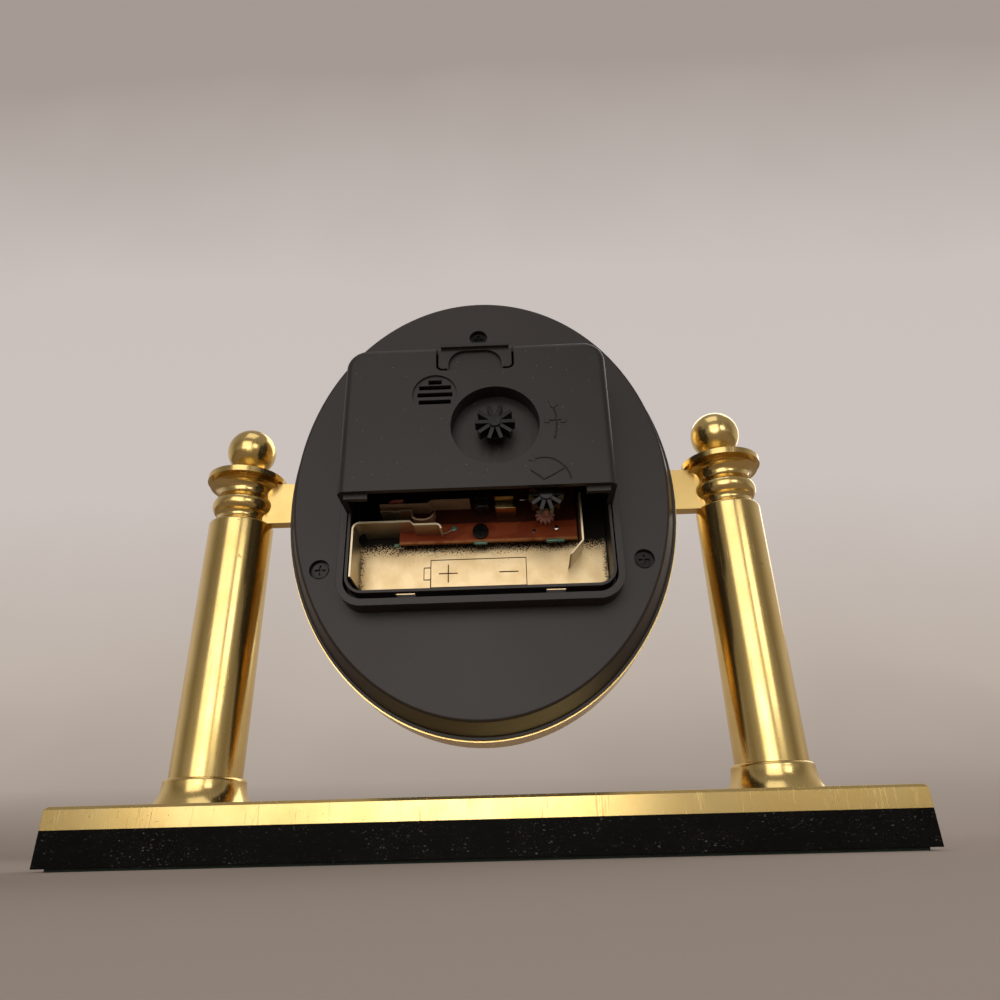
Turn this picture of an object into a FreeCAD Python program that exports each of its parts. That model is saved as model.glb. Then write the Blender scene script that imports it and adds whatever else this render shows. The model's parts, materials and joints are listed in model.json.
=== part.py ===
import FreeCAD, Part
import math
import os
import re
import Sketcher
from FreeCAD import Placement, Rotation, Vector

# Desk alarm clock: an oval clock head hung between two turned brass columns on a stone base.
# Row frame: +Z up, the dial faces -Y, the back cover faces +Y, origin at the middle of the underside.
# Head frame: x to the viewer's right as seen from behind, y up, z towards the back,
# with its origin at the middle of the oval on the flat face of the back cover.

doc = FreeCAD.newDocument("desk_clock")
sheet = doc.addObject("Spreadsheet::Sheet", "Sizes")

sizes = {
    # Base
    "base_depth": 44.0,
    "felt_thick": 0.5,
    "felt_inset": 1.5,
    "slab_thick": 5.8,
    "plate_thick": 3.7,
    "plate_bevel": 0.5,
    "recess_radius": 5.0,
    "recess_depth": 3.4,
    # Columns
    "column_inset": 18.0,
    "column_radius": 7.1,
    "tube_wall": 1.2,
    "shoulder_height": 0.7,
    "shoulder_inset": 0.5,
    "foot_height": 5.5,
    "foot_rim_radius": 9.5,
    "foot_rim_height": 0.5,
    "foot_sweep": 6.5,
    "foot_top_radius": 8.0,
    "foot_round": 0.7,
    "spigot_height": 3.0,
    "spigot_clearance": 0.1,
    "cove_height": 2.5,
    "cove_round": 1.3,
    "bead_height": 3.5,
    "bead_edge_radius": 6.3,
    "bead_radius": 7.0,
    "neck_height": 3.3,
    "neck_round": 2.1,
    "collar_height": 1.1,
    "collar_radius": 8.2,
    "collar_inset": 0.7,
    "flange_radius": 8.9,
    "flange_thick": 1.3,
    "ball_radius": 5.6,
    "ball_lift": 7.9,
    "ball_stem_radius": 2.1,
    "ball_pin_radius": 1.3,
    "ball_pin_length": 1.6,
    # Tie rods inside the columns
    "rod_radius": 1.5,
    "rod_clearance": 0.05,
    "rod_hole_radius": 1.8,
    "rod_tail": 0.4,
    "nut_flats": 5.5,
    "nut_thick": 2.2,
    "nut_washer_radius": 4.2,
    "nut_washer_thick": 0.5,
    # Straps between columns and head
    "strap_reach": 12.1,
    "strap_height": 10.0,
    "strap_thick": 3.0,
    "strap_stop": 2.7,
    "strap_inside": 2.4,
    "strap_clearance": 0.05,
    "strap_rise": 1.2,
    "strap_pin_radius": 0.6,
    "strap_pin_proud": 1.0,
    # Head
    "back_plane": 10.0,
    "head_clearance": 10.75,
    "oval_half_width": 41.2,
    "oval_half_height": 50.7,
    "cover_depth": 6.5,
    "cover_flare": 2.1,
    "cover_wall": 1.8,
    "cover_edge": 0.6,
    "lip_spread": 2.65,
    "lip_thick": 1.0,
    "case_spread": 2.95,
    "case_length": 13.7,
    "case_wall": 2.2,
    "case_round": 4.5,
    "case_ledge": 3.8,
    "case_front": 1.2,
    "insert_clearance": 0.5,
    "glass_thick": 1.2,
    "ring_length": 5.0,
    "dial_thick": 0.6,
    "support_thick": 1.5,
    # Window and rim of the back cover
    "rim_half_width": 29.3,
    "rim_bottom": 28.5,
    "rim_top": 28.0,
    "rim_height": 5.0,
    "rim_wall": 2.3,
    "rim_corner": 5.5,
    "sill_wall": 3.2,
    "rim_outer_wall": 1.45,
    "rim_lip": 0.6,
    "groove_depth": 4.2,
    "catch_width": 4.0,
    "catch_offset": 15.3,
    "catch_low": 1.3,
    "catch_high": 3.7,
    # Screws of the back cover
    "screw_margin": 3.87,
    "top_screw_margin": 10.5,
    "screw_recess_radius": 2.15,
    "screw_recess_depth": 1.4,
    "screw_head_radius": 1.7,
    "screw_head_thick": 0.7,
    "screw_shank_radius": 0.9,
    "screw_length": 7.0,
    "screw_slot": 0.45,
    "screw_slot_depth": 0.45,
    "screw_clearance": 0.15,
    "post_radius": 2.6,
    # Movement cover
    "lid_half_width": 28.0,
    "lid_top": 26.7,
    "lid_bottom": 8.1,
    "lid_rise": 15.0,
    "lid_wall": 1.3,
    "lid_corner": 4.6,
    "lid_round": 1.7,
    "tab_width": 4.8,
    "tab_drop": 1.1,
    "tab_thick": 1.2,
    "dish_radius": 9.2,
    "dish_depth": 4.0,
    "dish_floor": 1.1,
    "dish_hole_radius": 1.7,
    "grille_side": 8.6,
    "grille_rise": 14.3,
    "grille_radius": 4.7,
    "grille_sink": 0.5,
    "grille_slot": 1.05,
    "grille_pitch": 1.8,
    "latch_half_width": 8.4,
    "latch_drop": 6.6,
    "latch_gap": 0.5,
    "latch_round": 1.4,
    "latch_lip": 0.6,
    "latch_lip_height": 0.9,
    "thumb_half_width": 5.7,
    "thumb_height": 5.1,
    "thumb_round": 3.6,
    "thumb_sink": 0.8,
    # Movement
    "plate_half_width": 26.8,
    "plate_half_height": 25.5,
    "front_plate_thick": 1.2,
    "bush_radius": 3.0,
    "bush_length": 1.9,
    "hub_washer_radius": 5.0,
    "hub_washer_thick": 0.3,
    "hub_nut_flats": 8.0,
    "hub_nut_thick": 1.2,
    "middle_level": 3.3,
    "middle_thick": 1.2,
    "frame_wall": 1.2,
    "floor_thick": 0.3,
    "board_thick": 0.8,
    "board_left": 17.4,
    "board_right": 20.6,
    "board_drop": 13.7,
    "board_rise": 4.0,
    "boss_radius": 1.6,
    "boss_side": 14.5,
    "boss_rise": 1.0,
    "board_screw_drop": 11.4,
    "through_gap": 0.3,
    # Arbors and fits
    "fit": 0.05,
    "press": 0.02,
    "second_radius": 0.35,
    "tube_gauge": 0.45,
    "small_arbor": 0.4,
    "set_arbor": 0.9,
    "hand_thick": 0.25,
    "hand_gap": 0.35,
    "axial_gap": 0.3,
    "wheel_thick": 0.5,
    # Tooth modules, as lengths
    "motion_module": 0.375,
    "train_module": 0.2,
    "drive_module": 0.32,
    "rotor_module": 0.18,
    "alarm_module": 0.3,
    # Knobs
    "knob_proud": 1.0,
    "knob_height": 3.2,
    "knob_base": 0.9,
    "time_knob_radius": 4.1,
    "alarm_knob_radius": 3.5,
    "alarm_drop": 8.8,
    "alarm_knob_level": 12.4,
    "relay_level": 1.0,
    "fin_width": 0.8,
    "knob_hub_radius": 1.3,
    "knob_hub_proud": 0.4,
    # Hands, from the middle to the tip
    "hour_reach": 19.0,
    "minute_reach": 29.0,
    "second_reach": 31.0,
    "alarm_reach": 14.0,
    "hand_tail": 6.0,
    "hour_width": 3.0,
    "minute_width": 2.3,
    "second_width": 0.7,
    "alarm_width": 1.4,
    "hand_boss": 0.9,
    # Motor and sounder
    "rotor_magnet_radius": 2.2,
    "rotor_magnet_height": 1.6,
    "stator_thick": 0.8,
    "stator_gap": 0.4,
    "stator_reach": 6.0,
    "stator_half_bar": 3.4,
    "stator_arm": 2.6,
    "stator_rise": 10.9,
    "coil_radius": 2.6,
    "coil_gap": 0.3,
    "core_thick": 1.0,
    "core_width": 3.0,
    "sounder_radius": 8.0,
    "sounder_thick": 2.4,
    "sounder_side": 15.0,
    "sounder_rise": 13.5,
    "can_radius": 1.0,
    "can_length": 6.0,
    "can_side": 10.0,
    "can_rise": 2.6,
    "chip_side": 5.0,
    "chip_drop": 0.9,
    "chip_radius": 4.2,
    "chip_thick": 1.1,
    # Battery contacts
    "contact_thick": 0.4,
    "plus_side": 26.6,
    "plus_end": 7.8,
    "plus_drop": 10.5,
    "plus_foot": 22.5,
    "plus_bend": 1.6,
    "plus_step": 0.8,
    "plus_step_side": 14.5,
    "plus_tip": 1.3,
    "contact_high": 5.5,
    "minus_side": 21.0,
    "minus_top": 5.4,
    "minus_drop": 16.2,
    "minus_kick": 2.6,
    "minus_kick_drop": 3.0,
    "lever_drop": 6.2,
    "lever_left": 21.2,
    "lever_right": 2.1,
    "lever_high": 4.5,
    "lever_step": 0.7,
    "lever_step_side": 11.0,
}

# Tooth counts
cannon_teeth, minute_wheel_teeth = 10, 30
minute_pinion_teeth, hour_teeth = 8, 32
rotor_teeth, idle_teeth = 6, 60
idle_pinion_teeth, second_teeth = 10, 30
second_pinion_teeth, third_teeth = 6, 60
third_pinion_teeth, centre_teeth = 10, 60
alarm_knob_teeth, relay_teeth = 12, 20
relay_pinion_teeth, alarm_teeth = 12, 84
knob_fins = 10

# Directions from one arbor to the next, in degrees in the head frame
set_angle = 57.6
third_angle = 250.0
idle_angle = 150.0
rotor_angle = 120.0

# Direction of the two lower screws from the level, round the oval
screw_angle = 23.6

for row, (alias, size) in enumerate(sizes.items(), start=1):
    sheet.set(f"A{row}", alias)
    sheet.set(f"B{row}", str(size))
    sheet.setAlias(f"B{row}", alias)
doc.recompute()


def formula(text):
    return re.sub(r"[a-z]\w*", lambda word: "Sizes." + word[0] if word[0] in sizes else word[0], text)


def number(text):
    return float(sheet.evalExpression(formula(text)))


# Heights in the row frame: base, head above it, columns up to the straps' underside
slab_bottom = "felt_thick"
plate_bottom = f"{slab_bottom}+slab_thick"
plate_top = f"{plate_bottom}+plate_thick"
case_half_width, case_half_height = "oval_half_width+case_spread", "oval_half_height+case_spread"
head_height = f"{plate_top}+head_clearance+{case_half_height}"
tube_bottom = f"{plate_top}+foot_height"
cap_bottom = f"{head_height}+strap_rise-strap_height/2"
tube_length = f"({cap_bottom})-({tube_bottom})"

# Levels along the head frame's z, each counted from the flat face of the back cover
lip_back = "-cover_depth"
case_back = f"({lip_back})-lip_thick"
case_face = f"({case_back})-case_length"
glass_front = f"({case_face})+case_front"
glass_back = f"({glass_front})+glass_thick"
dial_front = f"({glass_back})+ring_length"
dial_back = f"({dial_front})+dial_thick"
support_back = f"({dial_back})+support_thick"
front_plate_back = f"({dial_back})+front_plate_thick"
bush_end = f"({dial_front})-bush_length"
middle_back = "-middle_level"
middle_front = "-middle_level-middle_thick"
board_front = "-board_thick"
floor_back = f"({middle_back})+floor_thick"

# Levels of wheels, from the dial side to the back
alarm_wheel_level = f"({front_plate_back})+axial_gap"
hour_wheel_level = f"({alarm_wheel_level})+wheel_thick+2*axial_gap"
cannon_level = f"({hour_wheel_level})+wheel_thick+axial_gap"
cannon_back = f"({cannon_level})+2*wheel_thick"
centre_wheel_level = f"({cannon_back})+axial_gap"
centre_wheel_back = f"({centre_wheel_level})+wheel_thick"
second_wheel_level = f"({centre_wheel_back})+axial_gap"
second_pinion_level = f"({second_wheel_level})+wheel_thick"
third_wheel_level = f"({second_pinion_level})+axial_gap"
third_wheel_back = f"({third_wheel_level})+wheel_thick"
idle_wheel_level = f"({third_wheel_back})+axial_gap"
idle_wheel_back = f"({idle_wheel_level})+wheel_thick"
minute_wheel_level = f"({cannon_level})+wheel_thick/2"
stator_back = f"({cannon_level})+stator_thick"
core_back = f"({stator_back})+core_thick"
arbor_end = f"({middle_back})-fit"

# Levels of hands, from the dial to the glass
alarm_hand_level = f"({bush_end})-hand_gap"
hour_hand_level = f"({alarm_hand_level})-hand_thick-hand_gap"
minute_hand_level = f"({hour_hand_level})-hand_thick-hand_gap"
second_hand_level = f"({minute_hand_level})-hand_thick-hand_gap"

# Nested tubes on the dial's axis
cannon_bore = "second_radius+fit"
cannon_radius = f"{cannon_bore}+tube_gauge"
hour_bore = f"{cannon_radius}+fit"
hour_radius = f"{hour_bore}+tube_gauge"
alarm_bore = f"{hour_radius}+fit"
alarm_radius = f"{alarm_bore}+tube_gauge"
bush_bore = f"{alarm_radius}+fit"


def polar(distance, degrees):
    cosine, sine = math.cos(math.radians(degrees)), math.sin(math.radians(degrees))
    return f"({distance})*{cosine:.9f}", f"({distance})*{sine:.9f}"


def between(module, first, second):
    return f"{module}*{(first + second) / 2}"


third_share = (third_pinion_teeth + centre_teeth) / (second_pinion_teeth + third_teeth)
third_module = f"train_module*{third_share:.9f}"
set_x, set_y = polar(between("motion_module", cannon_teeth, minute_wheel_teeth), set_angle)
third_x, third_y = polar(between("train_module", third_pinion_teeth, centre_teeth), third_angle)
idle_x, idle_y = polar(between("drive_module", idle_pinion_teeth, second_teeth), idle_angle)
rotor_dx, rotor_dy = polar(between("rotor_module", rotor_teeth, idle_teeth), rotor_angle)
rotor_x, rotor_y = f"{idle_x}+{rotor_dx}", f"{idle_y}+{rotor_dy}"
relay_y = f"-alarm_drop+{between('alarm_module', alarm_knob_teeth, relay_teeth)}"
relay_x = f"sqrt(({between('alarm_module', relay_pinion_teeth, alarm_teeth)})^2-({relay_y})^2)"
relay_angle = math.degrees(math.atan2(number(relay_y), number(relay_x)))


# Placing: a piece drawn in the row frame, or in the head frame with its middle at x, y, z
parts = {}
head_turn = Rotation(Vector(-1, 0, 0), Vector(0, 0, 1), Vector(0, 1, 0), "ZXY")


def place(item, frame, x="0", y="0", z="0", spin=0):
    if frame == "head":
        item.Placement = Placement(Vector(), head_turn * Rotation(Vector(0, 0, 1), spin))
        x, y, z = f"-({x})", f"back_plane+({z})", f"{head_height}+({y})"
    for axis, text in (("x", x), ("y", y), ("z", z)):
        if text != "0":
            item.setExpression(f"Placement.Base.{axis}", formula(text))


def keep(item, name, frame, x="0", y="0", z="0", spin=0):
    item.Label = name
    place(item, frame, x, y, z, spin)
    parts[name] = item
    return item


# Sketch geometry, each point tied to the sizes
def tie(sketch, geometry, point, x, y):
    for kind, text in (("DistanceX", x), ("DistanceY", y)):
        tied = sketch.addConstraint(Sketcher.Constraint(kind, -1, 1, geometry, point, number(text)))
        if re.search("[a-z]", text):
            sketch.setExpression(f"Constraints[{tied}]", formula(text))


def measure(sketch, kind, geometry, text):
    tied = sketch.addConstraint(Sketcher.Constraint(kind, geometry, number(text)))
    sketch.setExpression(f"Constraints[{tied}]", formula(text))


def circle(radius, x="0", y="0"):
    def draw(sketch):
        middle = Vector(number(x), number(y), 0)
        ring = sketch.addGeometry(Part.Circle(middle, Vector(0, 0, 1), number(radius)))
        tie(sketch, ring, 3, x, y)
        measure(sketch, "Radius", ring, radius)
    return draw


def oval(half_width, half_height):
    def draw(sketch):
        tip, side = Vector(0, number(half_height), 0), Vector(number(half_width), 0, 0)
        ring = sketch.addGeometry(Part.Ellipse(tip, side, Vector()))
        sketch.exposeInternalGeometry(ring)
        sketch.addConstraint(Sketcher.Constraint("Coincident", ring, 3, -1, 1))
        sketch.addConstraint(Sketcher.Constraint("Vertical", ring + 1))
        measure(sketch, "Distance", ring + 1, f"2*({half_height})")
        measure(sketch, "Distance", ring + 2, f"2*({half_width})")
    return draw


def arc_middle(start, end, radius, side):
    along = end - start
    across = Vector(-along.y, along.x, 0).normalize() * side
    rise = math.sqrt(max(radius ** 2 - (along.Length / 2) ** 2, 0))
    centre = start + along / 2 - across * rise
    return centre + across * radius


# A closed outline: each point is x, y and, where an arc leads to the next point,
# the arc's radius and the side on which it bulges (left or right of the way).
# A sketch stores arcs anticlockwise, so an arc that bulges to the left starts at its far end.
def outline(*points):
    def draw(sketch):
        first = sketch.GeometryCount
        count = len(points)
        corners = [Vector(number(point[0]), number(point[1]), 0) for point in points]
        ends = []
        for index, point in enumerate(points):
            start, end = corners[index], corners[(index + 1) % count]
            if len(point) == 2:
                sketch.addGeometry(Part.LineSegment(start, end))
            else:
                side = 1 if point[3] == "left" else -1
                middle = arc_middle(start, end, number(point[2]), side)
                arc_start, arc_end = (end, start) if side > 0 else (start, end)
                sketch.addGeometry(Part.Arc(arc_start, middle, arc_end))
            ends.append((2, 1) if point[3:] == ("left",) else (1, 2))
        for index, point in enumerate(points):
            following = (index + 1) % count
            here, there = first + index, first + following
            meet = Sketcher.Constraint("Coincident", here, ends[index][1], there, ends[following][0])
            sketch.addConstraint(meet)
            tie(sketch, here, ends[index][0], point[0], point[1])
            if len(point) > 2:
                measure(sketch, "Radius", here, point[2])
    return draw


def rectangle(left, bottom, right, top):
    return outline((left, bottom), (right, bottom), (right, top), (left, top))


# A rectangle about the y axis with rounded corners
def rounded(half_width, bottom, top, radius):
    left, right, inner = f"-({half_width})", half_width, f"({half_width})-({radius})"
    low, high = f"({bottom})+({radius})", f"({top})-({radius})"
    bend = f"1.0001*({radius})"
    return outline(
        (f"-({inner})", bottom), (inner, bottom, bend, "right"), (right, low), (right, high, bend, "right"),
        (inner, top), (f"-({inner})", top, bend, "right"), (left, high), (left, low, bend, "right"))


# Radius of the arc over a chord that rises by so much in the middle
def bulge(chord, rise):
    return f"((({chord})/2)^2+({rise})^2)/(2*({rise}))"


def both(*drawings):
    def draw(sketch):
        for drawing in drawings:
            drawing(sketch)
    return draw


class Piece:
    # A sub-part built up feature by feature in its own body

    def __init__(self, name):
        self.name = name
        self.body = doc.addObject("PartDesign::Body", name)
        self.used = 0

    def feature(self, kind):
        self.used += 1
        return self.body.newObject(kind, f"{self.name}_{self.used}")

    def sketch(self, draw, role="XY_Plane", level="0"):
        plane = next(item for item in self.body.Origin.OriginFeatures if item.Role == role)
        sketch = self.feature("Sketcher::SketchObject")
        sketch.AttachmentSupport = [(plane, "")]
        sketch.MapMode = "FlatFace"
        if level != "0":
            sketch.setExpression("AttachmentOffset.Base.z", formula(level))
        draw(sketch)
        return sketch

    def pad(self, draw, bottom, top, role="XY_Plane"):
        pad = self.feature("PartDesign::Pad")
        pad.Profile = self.sketch(draw, role, bottom)
        pad.setExpression("Length", formula(f"({top})-({bottom})"))
        return pad

    def cut(self, draw, bottom, top, role="XY_Plane"):
        before = self.volume()
        pocket = self.feature("PartDesign::Pocket")
        pocket.Profile = self.sketch(draw, role, top)
        pocket.setExpression("Length", formula(f"({top})-({bottom})"))
        if self.volume() > before - before * tiny_share:
            raise RuntimeError(f"{self.name}: a cut removed nothing")
        return pocket

    def turn(self, *points):
        turned = self.feature("PartDesign::Revolution")
        turned.Profile = self.sketch(outline(*points), role="XZ_Plane")
        turned.ReferenceAxis = (turned.Profile[0], ["V_Axis"])
        return turned

    def loft(self, first, first_level, second, second_level):
        loft = self.feature("PartDesign::AdditiveLoft")
        loft.Profile = self.sketch(first, level=first_level)
        loft.Sections = [self.sketch(second, level=second_level)]
        return loft

    def around(self, feature, count):
        pattern = self.feature("PartDesign::PolarPattern")
        pattern.Originals = [feature]
        axis = next(item for item in self.body.Origin.OriginFeatures if item.Role == "Z_Axis")
        pattern.Axis = (axis, [""])
        pattern.Angle = 360
        pattern.Occurrences = count
        self.body.Tip = pattern
        return pattern

    def soften(self, kind, size, chosen):
        doc.recompute()
        base = self.body.Tip
        edges = [f"Edge{index}" for index, edge in enumerate(base.Shape.Edges, start=1) if chosen(edge)]
        softened = self.feature(f"PartDesign::{kind}")
        softened.Base = (base, edges)
        softened.setExpression("Size" if kind == "Chamfer" else "Radius", formula(size))
        return softened

    def volume(self):
        doc.recompute()
        return self.body.Shape.Volume if self.body.Shape.Solids else 0.0


tiny_share = 1e-9
near = 1e-4


def at_level(level):
    height = number(level)
    return lambda edge: abs(edge.BoundBox.ZMin - height) < near and abs(edge.BoundBox.ZMax - height) < near


# Plain shapes for wheels and other small pieces, with sizes read from the sheet
def disc(radius, bottom, top, x="0", y="0"):
    low = number(bottom)
    return Part.makeCylinder(number(radius), number(top) - low, Vector(number(x), number(y), low))


def block(left, right, bottom, top, back, front):
    low = Vector(number(left), number(bottom), number(back))
    size = Vector(number(right), number(top), number(front)) - low
    return Part.makeBox(size.x, size.y, size.z, low)


def prism(points, bottom, top):
    low = number(bottom)
    wire = Part.makePolygon([Vector(x, y, low) for x, y in points + points[:1]])
    return Part.Face(wire).extrude(Vector(0, 0, number(top) - low))


# Shares of the module and of half a tooth pitch that give a tooth its height and its running backlash
tooth_tip_share, tooth_root_share = 0.8, 1.1
tip_width_share, root_width_share = 0.2, 0.62


def toothed(teeth, module, bottom, top, phase):
    pitch_radius = number(module) * teeth / 2
    tip = pitch_radius + number(module) * tooth_tip_share
    root = pitch_radius - number(module) * tooth_root_share
    half_pitch = 180 / teeth
    points = []
    for tooth in range(teeth):
        middle = phase + 2 * half_pitch * tooth
        rising = ((root, -root_width_share), (tip, -tip_width_share))
        falling = ((tip, tip_width_share), (root, root_width_share))
        for radius, share in rising + falling:
            angle = math.radians(middle + share * half_pitch)
            points.append((radius * math.cos(angle), radius * math.sin(angle)))
    return prism(points, bottom, top)


def facing(teeth, direction):
    return direction + 180 + 180 / teeth


def fused(*shapes):
    return shapes[0].multiFuse(list(shapes[1:])).removeSplitter() if len(shapes) > 1 else shapes[0]


def made(name, shape, frame, x="0", y="0", z="0"):
    item = doc.addObject("Part::Feature", name)
    item.Shape = shape
    return keep(item, name, frame, x, y, z)


# Base: felt sheet, stone slab and brass plate
column_x = f"({case_half_width}+strap_reach)"
half_width, half_depth = f"({column_x}+column_inset)", "base_depth/2"
base_outline = rectangle(f"-{half_width}", f"-{half_depth}", half_width, half_depth)


def at_columns(radius):
    return both(circle(radius, f"-{column_x}"), circle(radius, column_x))


felt = Piece("base_felt")
felt_x, felt_y = f"{half_width}-felt_inset", f"{half_depth}-felt_inset"
felt.pad(rectangle(f"-({felt_x})", f"-({felt_y})", felt_x, felt_y), "0", slab_bottom)
keep(felt.body, "base_felt", "row")

slab = Piece("base_slab")
slab.pad(base_outline, slab_bottom, plate_bottom)
slab.cut(at_columns("rod_hole_radius"), slab_bottom, plate_bottom)
slab.cut(at_columns("recess_radius"), slab_bottom, f"{slab_bottom}+recess_depth")
keep(slab.body, "base_slab", "row")

plate = Piece("base_plate")
plate.pad(base_outline, plate_bottom, plate_top)
plate.soften("Chamfer", "plate_bevel", at_level(plate_top))
plate.cut(at_columns("rod_hole_radius"), plate_bottom, plate_top)
keep(plate.body, "base_plate", "row")

# Columns: foot, tube, turned cap and ball finial
tube_bore = "column_radius-tube_wall"
spigot_radius = f"{tube_bore}-spigot_clearance"
shoulder_round = "(shoulder_height^2+shoulder_inset^2)/(2*shoulder_inset)"
bead_round = bulge("bead_height", "bead_radius-bead_edge_radius")
neck_low = "cove_height+bead_height"
collar_low = f"{neck_low}+neck_height"
flange_low = f"{collar_low}+collar_height"
flange_high = f"{flange_low}+flange_thick"
rod_end = f"{flange_low}-flange_thick"
ball_low = "ball_lift-sqrt(ball_radius^2-ball_stem_radius^2)"
slot_half = "strap_thick/2+strap_clearance"
slot_stop = "strap_stop-strap_clearance"


def column_foot(name, x):
    foot = Piece(name)
    foot.turn(
        ("rod_hole_radius", "0"), ("foot_rim_radius", "0"),
        ("foot_rim_radius", "foot_rim_height", "foot_sweep", "left"),
        ("foot_top_radius", "foot_height-foot_round", "1.0001*foot_round", "right"),
        ("foot_top_radius-foot_round", "foot_height"),
        (spigot_radius, "foot_height"), (spigot_radius, "foot_height+spigot_height"),
        ("rod_hole_radius", "foot_height+spigot_height"))
    keep(foot.body, name, "row", x, "0", plate_top)


def column_tube(name, x):
    tube = Piece(name)
    tube.turn(
        (tube_bore, "0"), ("column_radius", "0"),
        ("column_radius", f"{tube_length}-shoulder_height", shoulder_round, "right"),
        ("column_radius-shoulder_inset", tube_length), (tube_bore, tube_length))
    keep(tube.body, name, "row", x, "0", tube_bottom)


# The cap's heights start at the tube's top end, and its slot takes the strap from the head's side
def column_cap(name, x, head_side):
    cap = Piece(name)
    cap.turn(
        ("0", "-spigot_height"), (spigot_radius, "-spigot_height"), (spigot_radius, "0"),
        ("bead_edge_radius", "0", "cove_round", "left"),
        ("bead_edge_radius", "cove_height", bead_round, "right"),
        ("bead_edge_radius", neck_low, "neck_round", "left"), ("collar_radius", collar_low),
        ("collar_radius-collar_inset", flange_low), ("flange_radius", flange_low),
        ("flange_radius", flange_high), ("0", flange_high))
    cap.cut(circle("rod_radius+rod_clearance"), "-spigot_height", rod_end)
    cap.cut(circle("ball_pin_radius+press"), f"{flange_high}-ball_pin_length-press", flange_high)
    ends = sorted((f"{head_side}2*flange_radius", f"{head_side}({slot_stop})"), key=number)
    cap.cut(rectangle(ends[0], f"-({slot_half})", ends[1], slot_half), "0", "strap_height+strap_clearance")
    keep(cap.body, name, "row", x, "0", cap_bottom)


def finial(name, x):
    ball = Piece(name)
    ball.turn(
        ("0", "-ball_pin_length"), ("ball_pin_radius", "-ball_pin_length"), ("ball_pin_radius", "0"),
        ("ball_stem_radius", "0"), ("ball_stem_radius", ball_low, "ball_radius", "right"),
        ("0", "ball_lift+ball_radius"))
    keep(ball.body, name, "row", x, "0", f"{cap_bottom}+{flange_high}")


for side, column_sign, head_side in (("left", "-", ""), ("right", "", "-")):
    axis_x = column_sign + column_x
    column_foot(f"column_foot_{side}", axis_x)
    column_tube(f"column_tube_{side}", axis_x)
    column_cap(f"column_cap_{side}", axis_x, head_side)
    finial(f"finial_{side}", axis_x)


# Primitives tied to the sizes, and nodes that hold a few alike solids. Flats are measured across a hexagon.
def bind(item, **texts):
    for name, text in texts.items():
        item.setExpression(name.replace("_", ".") if name.startswith("Placement") else name, formula(text))
    return item


def bar(name, radius, bottom, top, x="0", y="0"):
    item = doc.addObject("Part::Cylinder", name)
    return bind(
        item, Radius=radius, Height=f"({top})-({bottom})",
        Placement_Base_x=x, Placement_Base_y=y, Placement_Base_z=bottom)


def brick(name, left, right, front, back, bottom, top):
    item = doc.addObject("Part::Box", name)
    return bind(
        item, Length=f"({right})-({left})", Width=f"({back})-({front})", Height=f"({top})-({bottom})",
        Placement_Base_x=left, Placement_Base_y=front, Placement_Base_z=bottom)


def hexagon(name, flats, bottom, top, x="0"):
    item = doc.addObject("Part::Prism", name)
    item.Polygon = 6
    return bind(
        item, Circumradius=f"{flats}/sqrt(3)", Height=f"({top})-({bottom})",
        Placement_Base_x=x, Placement_Base_z=bottom)


def without(name, base, tool):
    item = doc.addObject("Part::Cut", name)
    item.Base, item.Tool = base, tool
    return item


def joined(name, first, *others):
    item = doc.addObject("Part::MultiFuse", name)
    item.Shapes = [first, *others]
    return item


def group(name, items, frame):
    compound = doc.addObject("Part::Compound", name)
    compound.Links = items
    return keep(compound, name, frame)


# Tie rods from the nuts under the slab up into the caps
recess_top = f"{slab_bottom}+recess_depth"
washer_bottom = f"{recess_top}-nut_washer_thick"
nut_bottom = f"{washer_bottom}-nut_thick"
rods, nuts, washers = [], [], []
for side, column_sign in (("left", "-"), ("right", "")):
    x = column_sign + column_x
    rods.append(bar(f"rod_{side}", "rod_radius", f"{nut_bottom}-rod_tail", f"{cap_bottom}+{rod_end}", x))
    blank = hexagon(f"nut_blank_{side}", "nut_flats", nut_bottom, washer_bottom, x)
    bore = bar(f"nut_bore_{side}", "rod_radius+press", nut_bottom, recess_top, x)
    nuts.append(without(f"nut_{side}", blank, bore))
    blank = bar(f"washer_blank_{side}", "nut_washer_radius", washer_bottom, recess_top, x)
    bore = bar(f"washer_bore_{side}", "rod_radius+press", washer_bottom, recess_top, x)
    washers.append(without(f"washer_{side}", blank, bore))
group("tie_rods", rods, "row")
group("tie_rod_nuts", nuts, "row")
group("tie_rod_washers", washers, "row")

# Straps from the caps through the case's sides, each locked inside by an upright pin
cavity_half_width, cavity_half_height = f"{case_half_width}-case_wall", f"{case_half_height}-case_wall"
strap_top = f"{cap_bottom}+strap_height"
strap_end = f"{cavity_half_width}-strap_inside"
pin_x = f"{cavity_half_width}-strap_inside/2"
pins = []
for side, sign in (("left", "-"), ("right", "")):
    ends = sorted((f"{sign}({column_x}-strap_stop)", f"{sign}({strap_end})"), key=number)
    blade = brick(f"strap_blade_{side}", *ends, "-strap_thick/2", "strap_thick/2", cap_bottom, strap_top)
    bore = bar(f"strap_bore_{side}", "strap_pin_radius+press", cap_bottom, strap_top, f"{sign}({pin_x})")
    keep(without(f"strap_{side}", blade, bore), f"head_strap_{side}", "row")
    low, high = f"{cap_bottom}-strap_pin_proud", f"{strap_top}+strap_pin_proud"
    pins.append(bar(f"strap_pin_{side}", "strap_pin_radius", low, high, f"{sign}({pin_x})"))
group("strap_pins", pins, "row")

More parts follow.
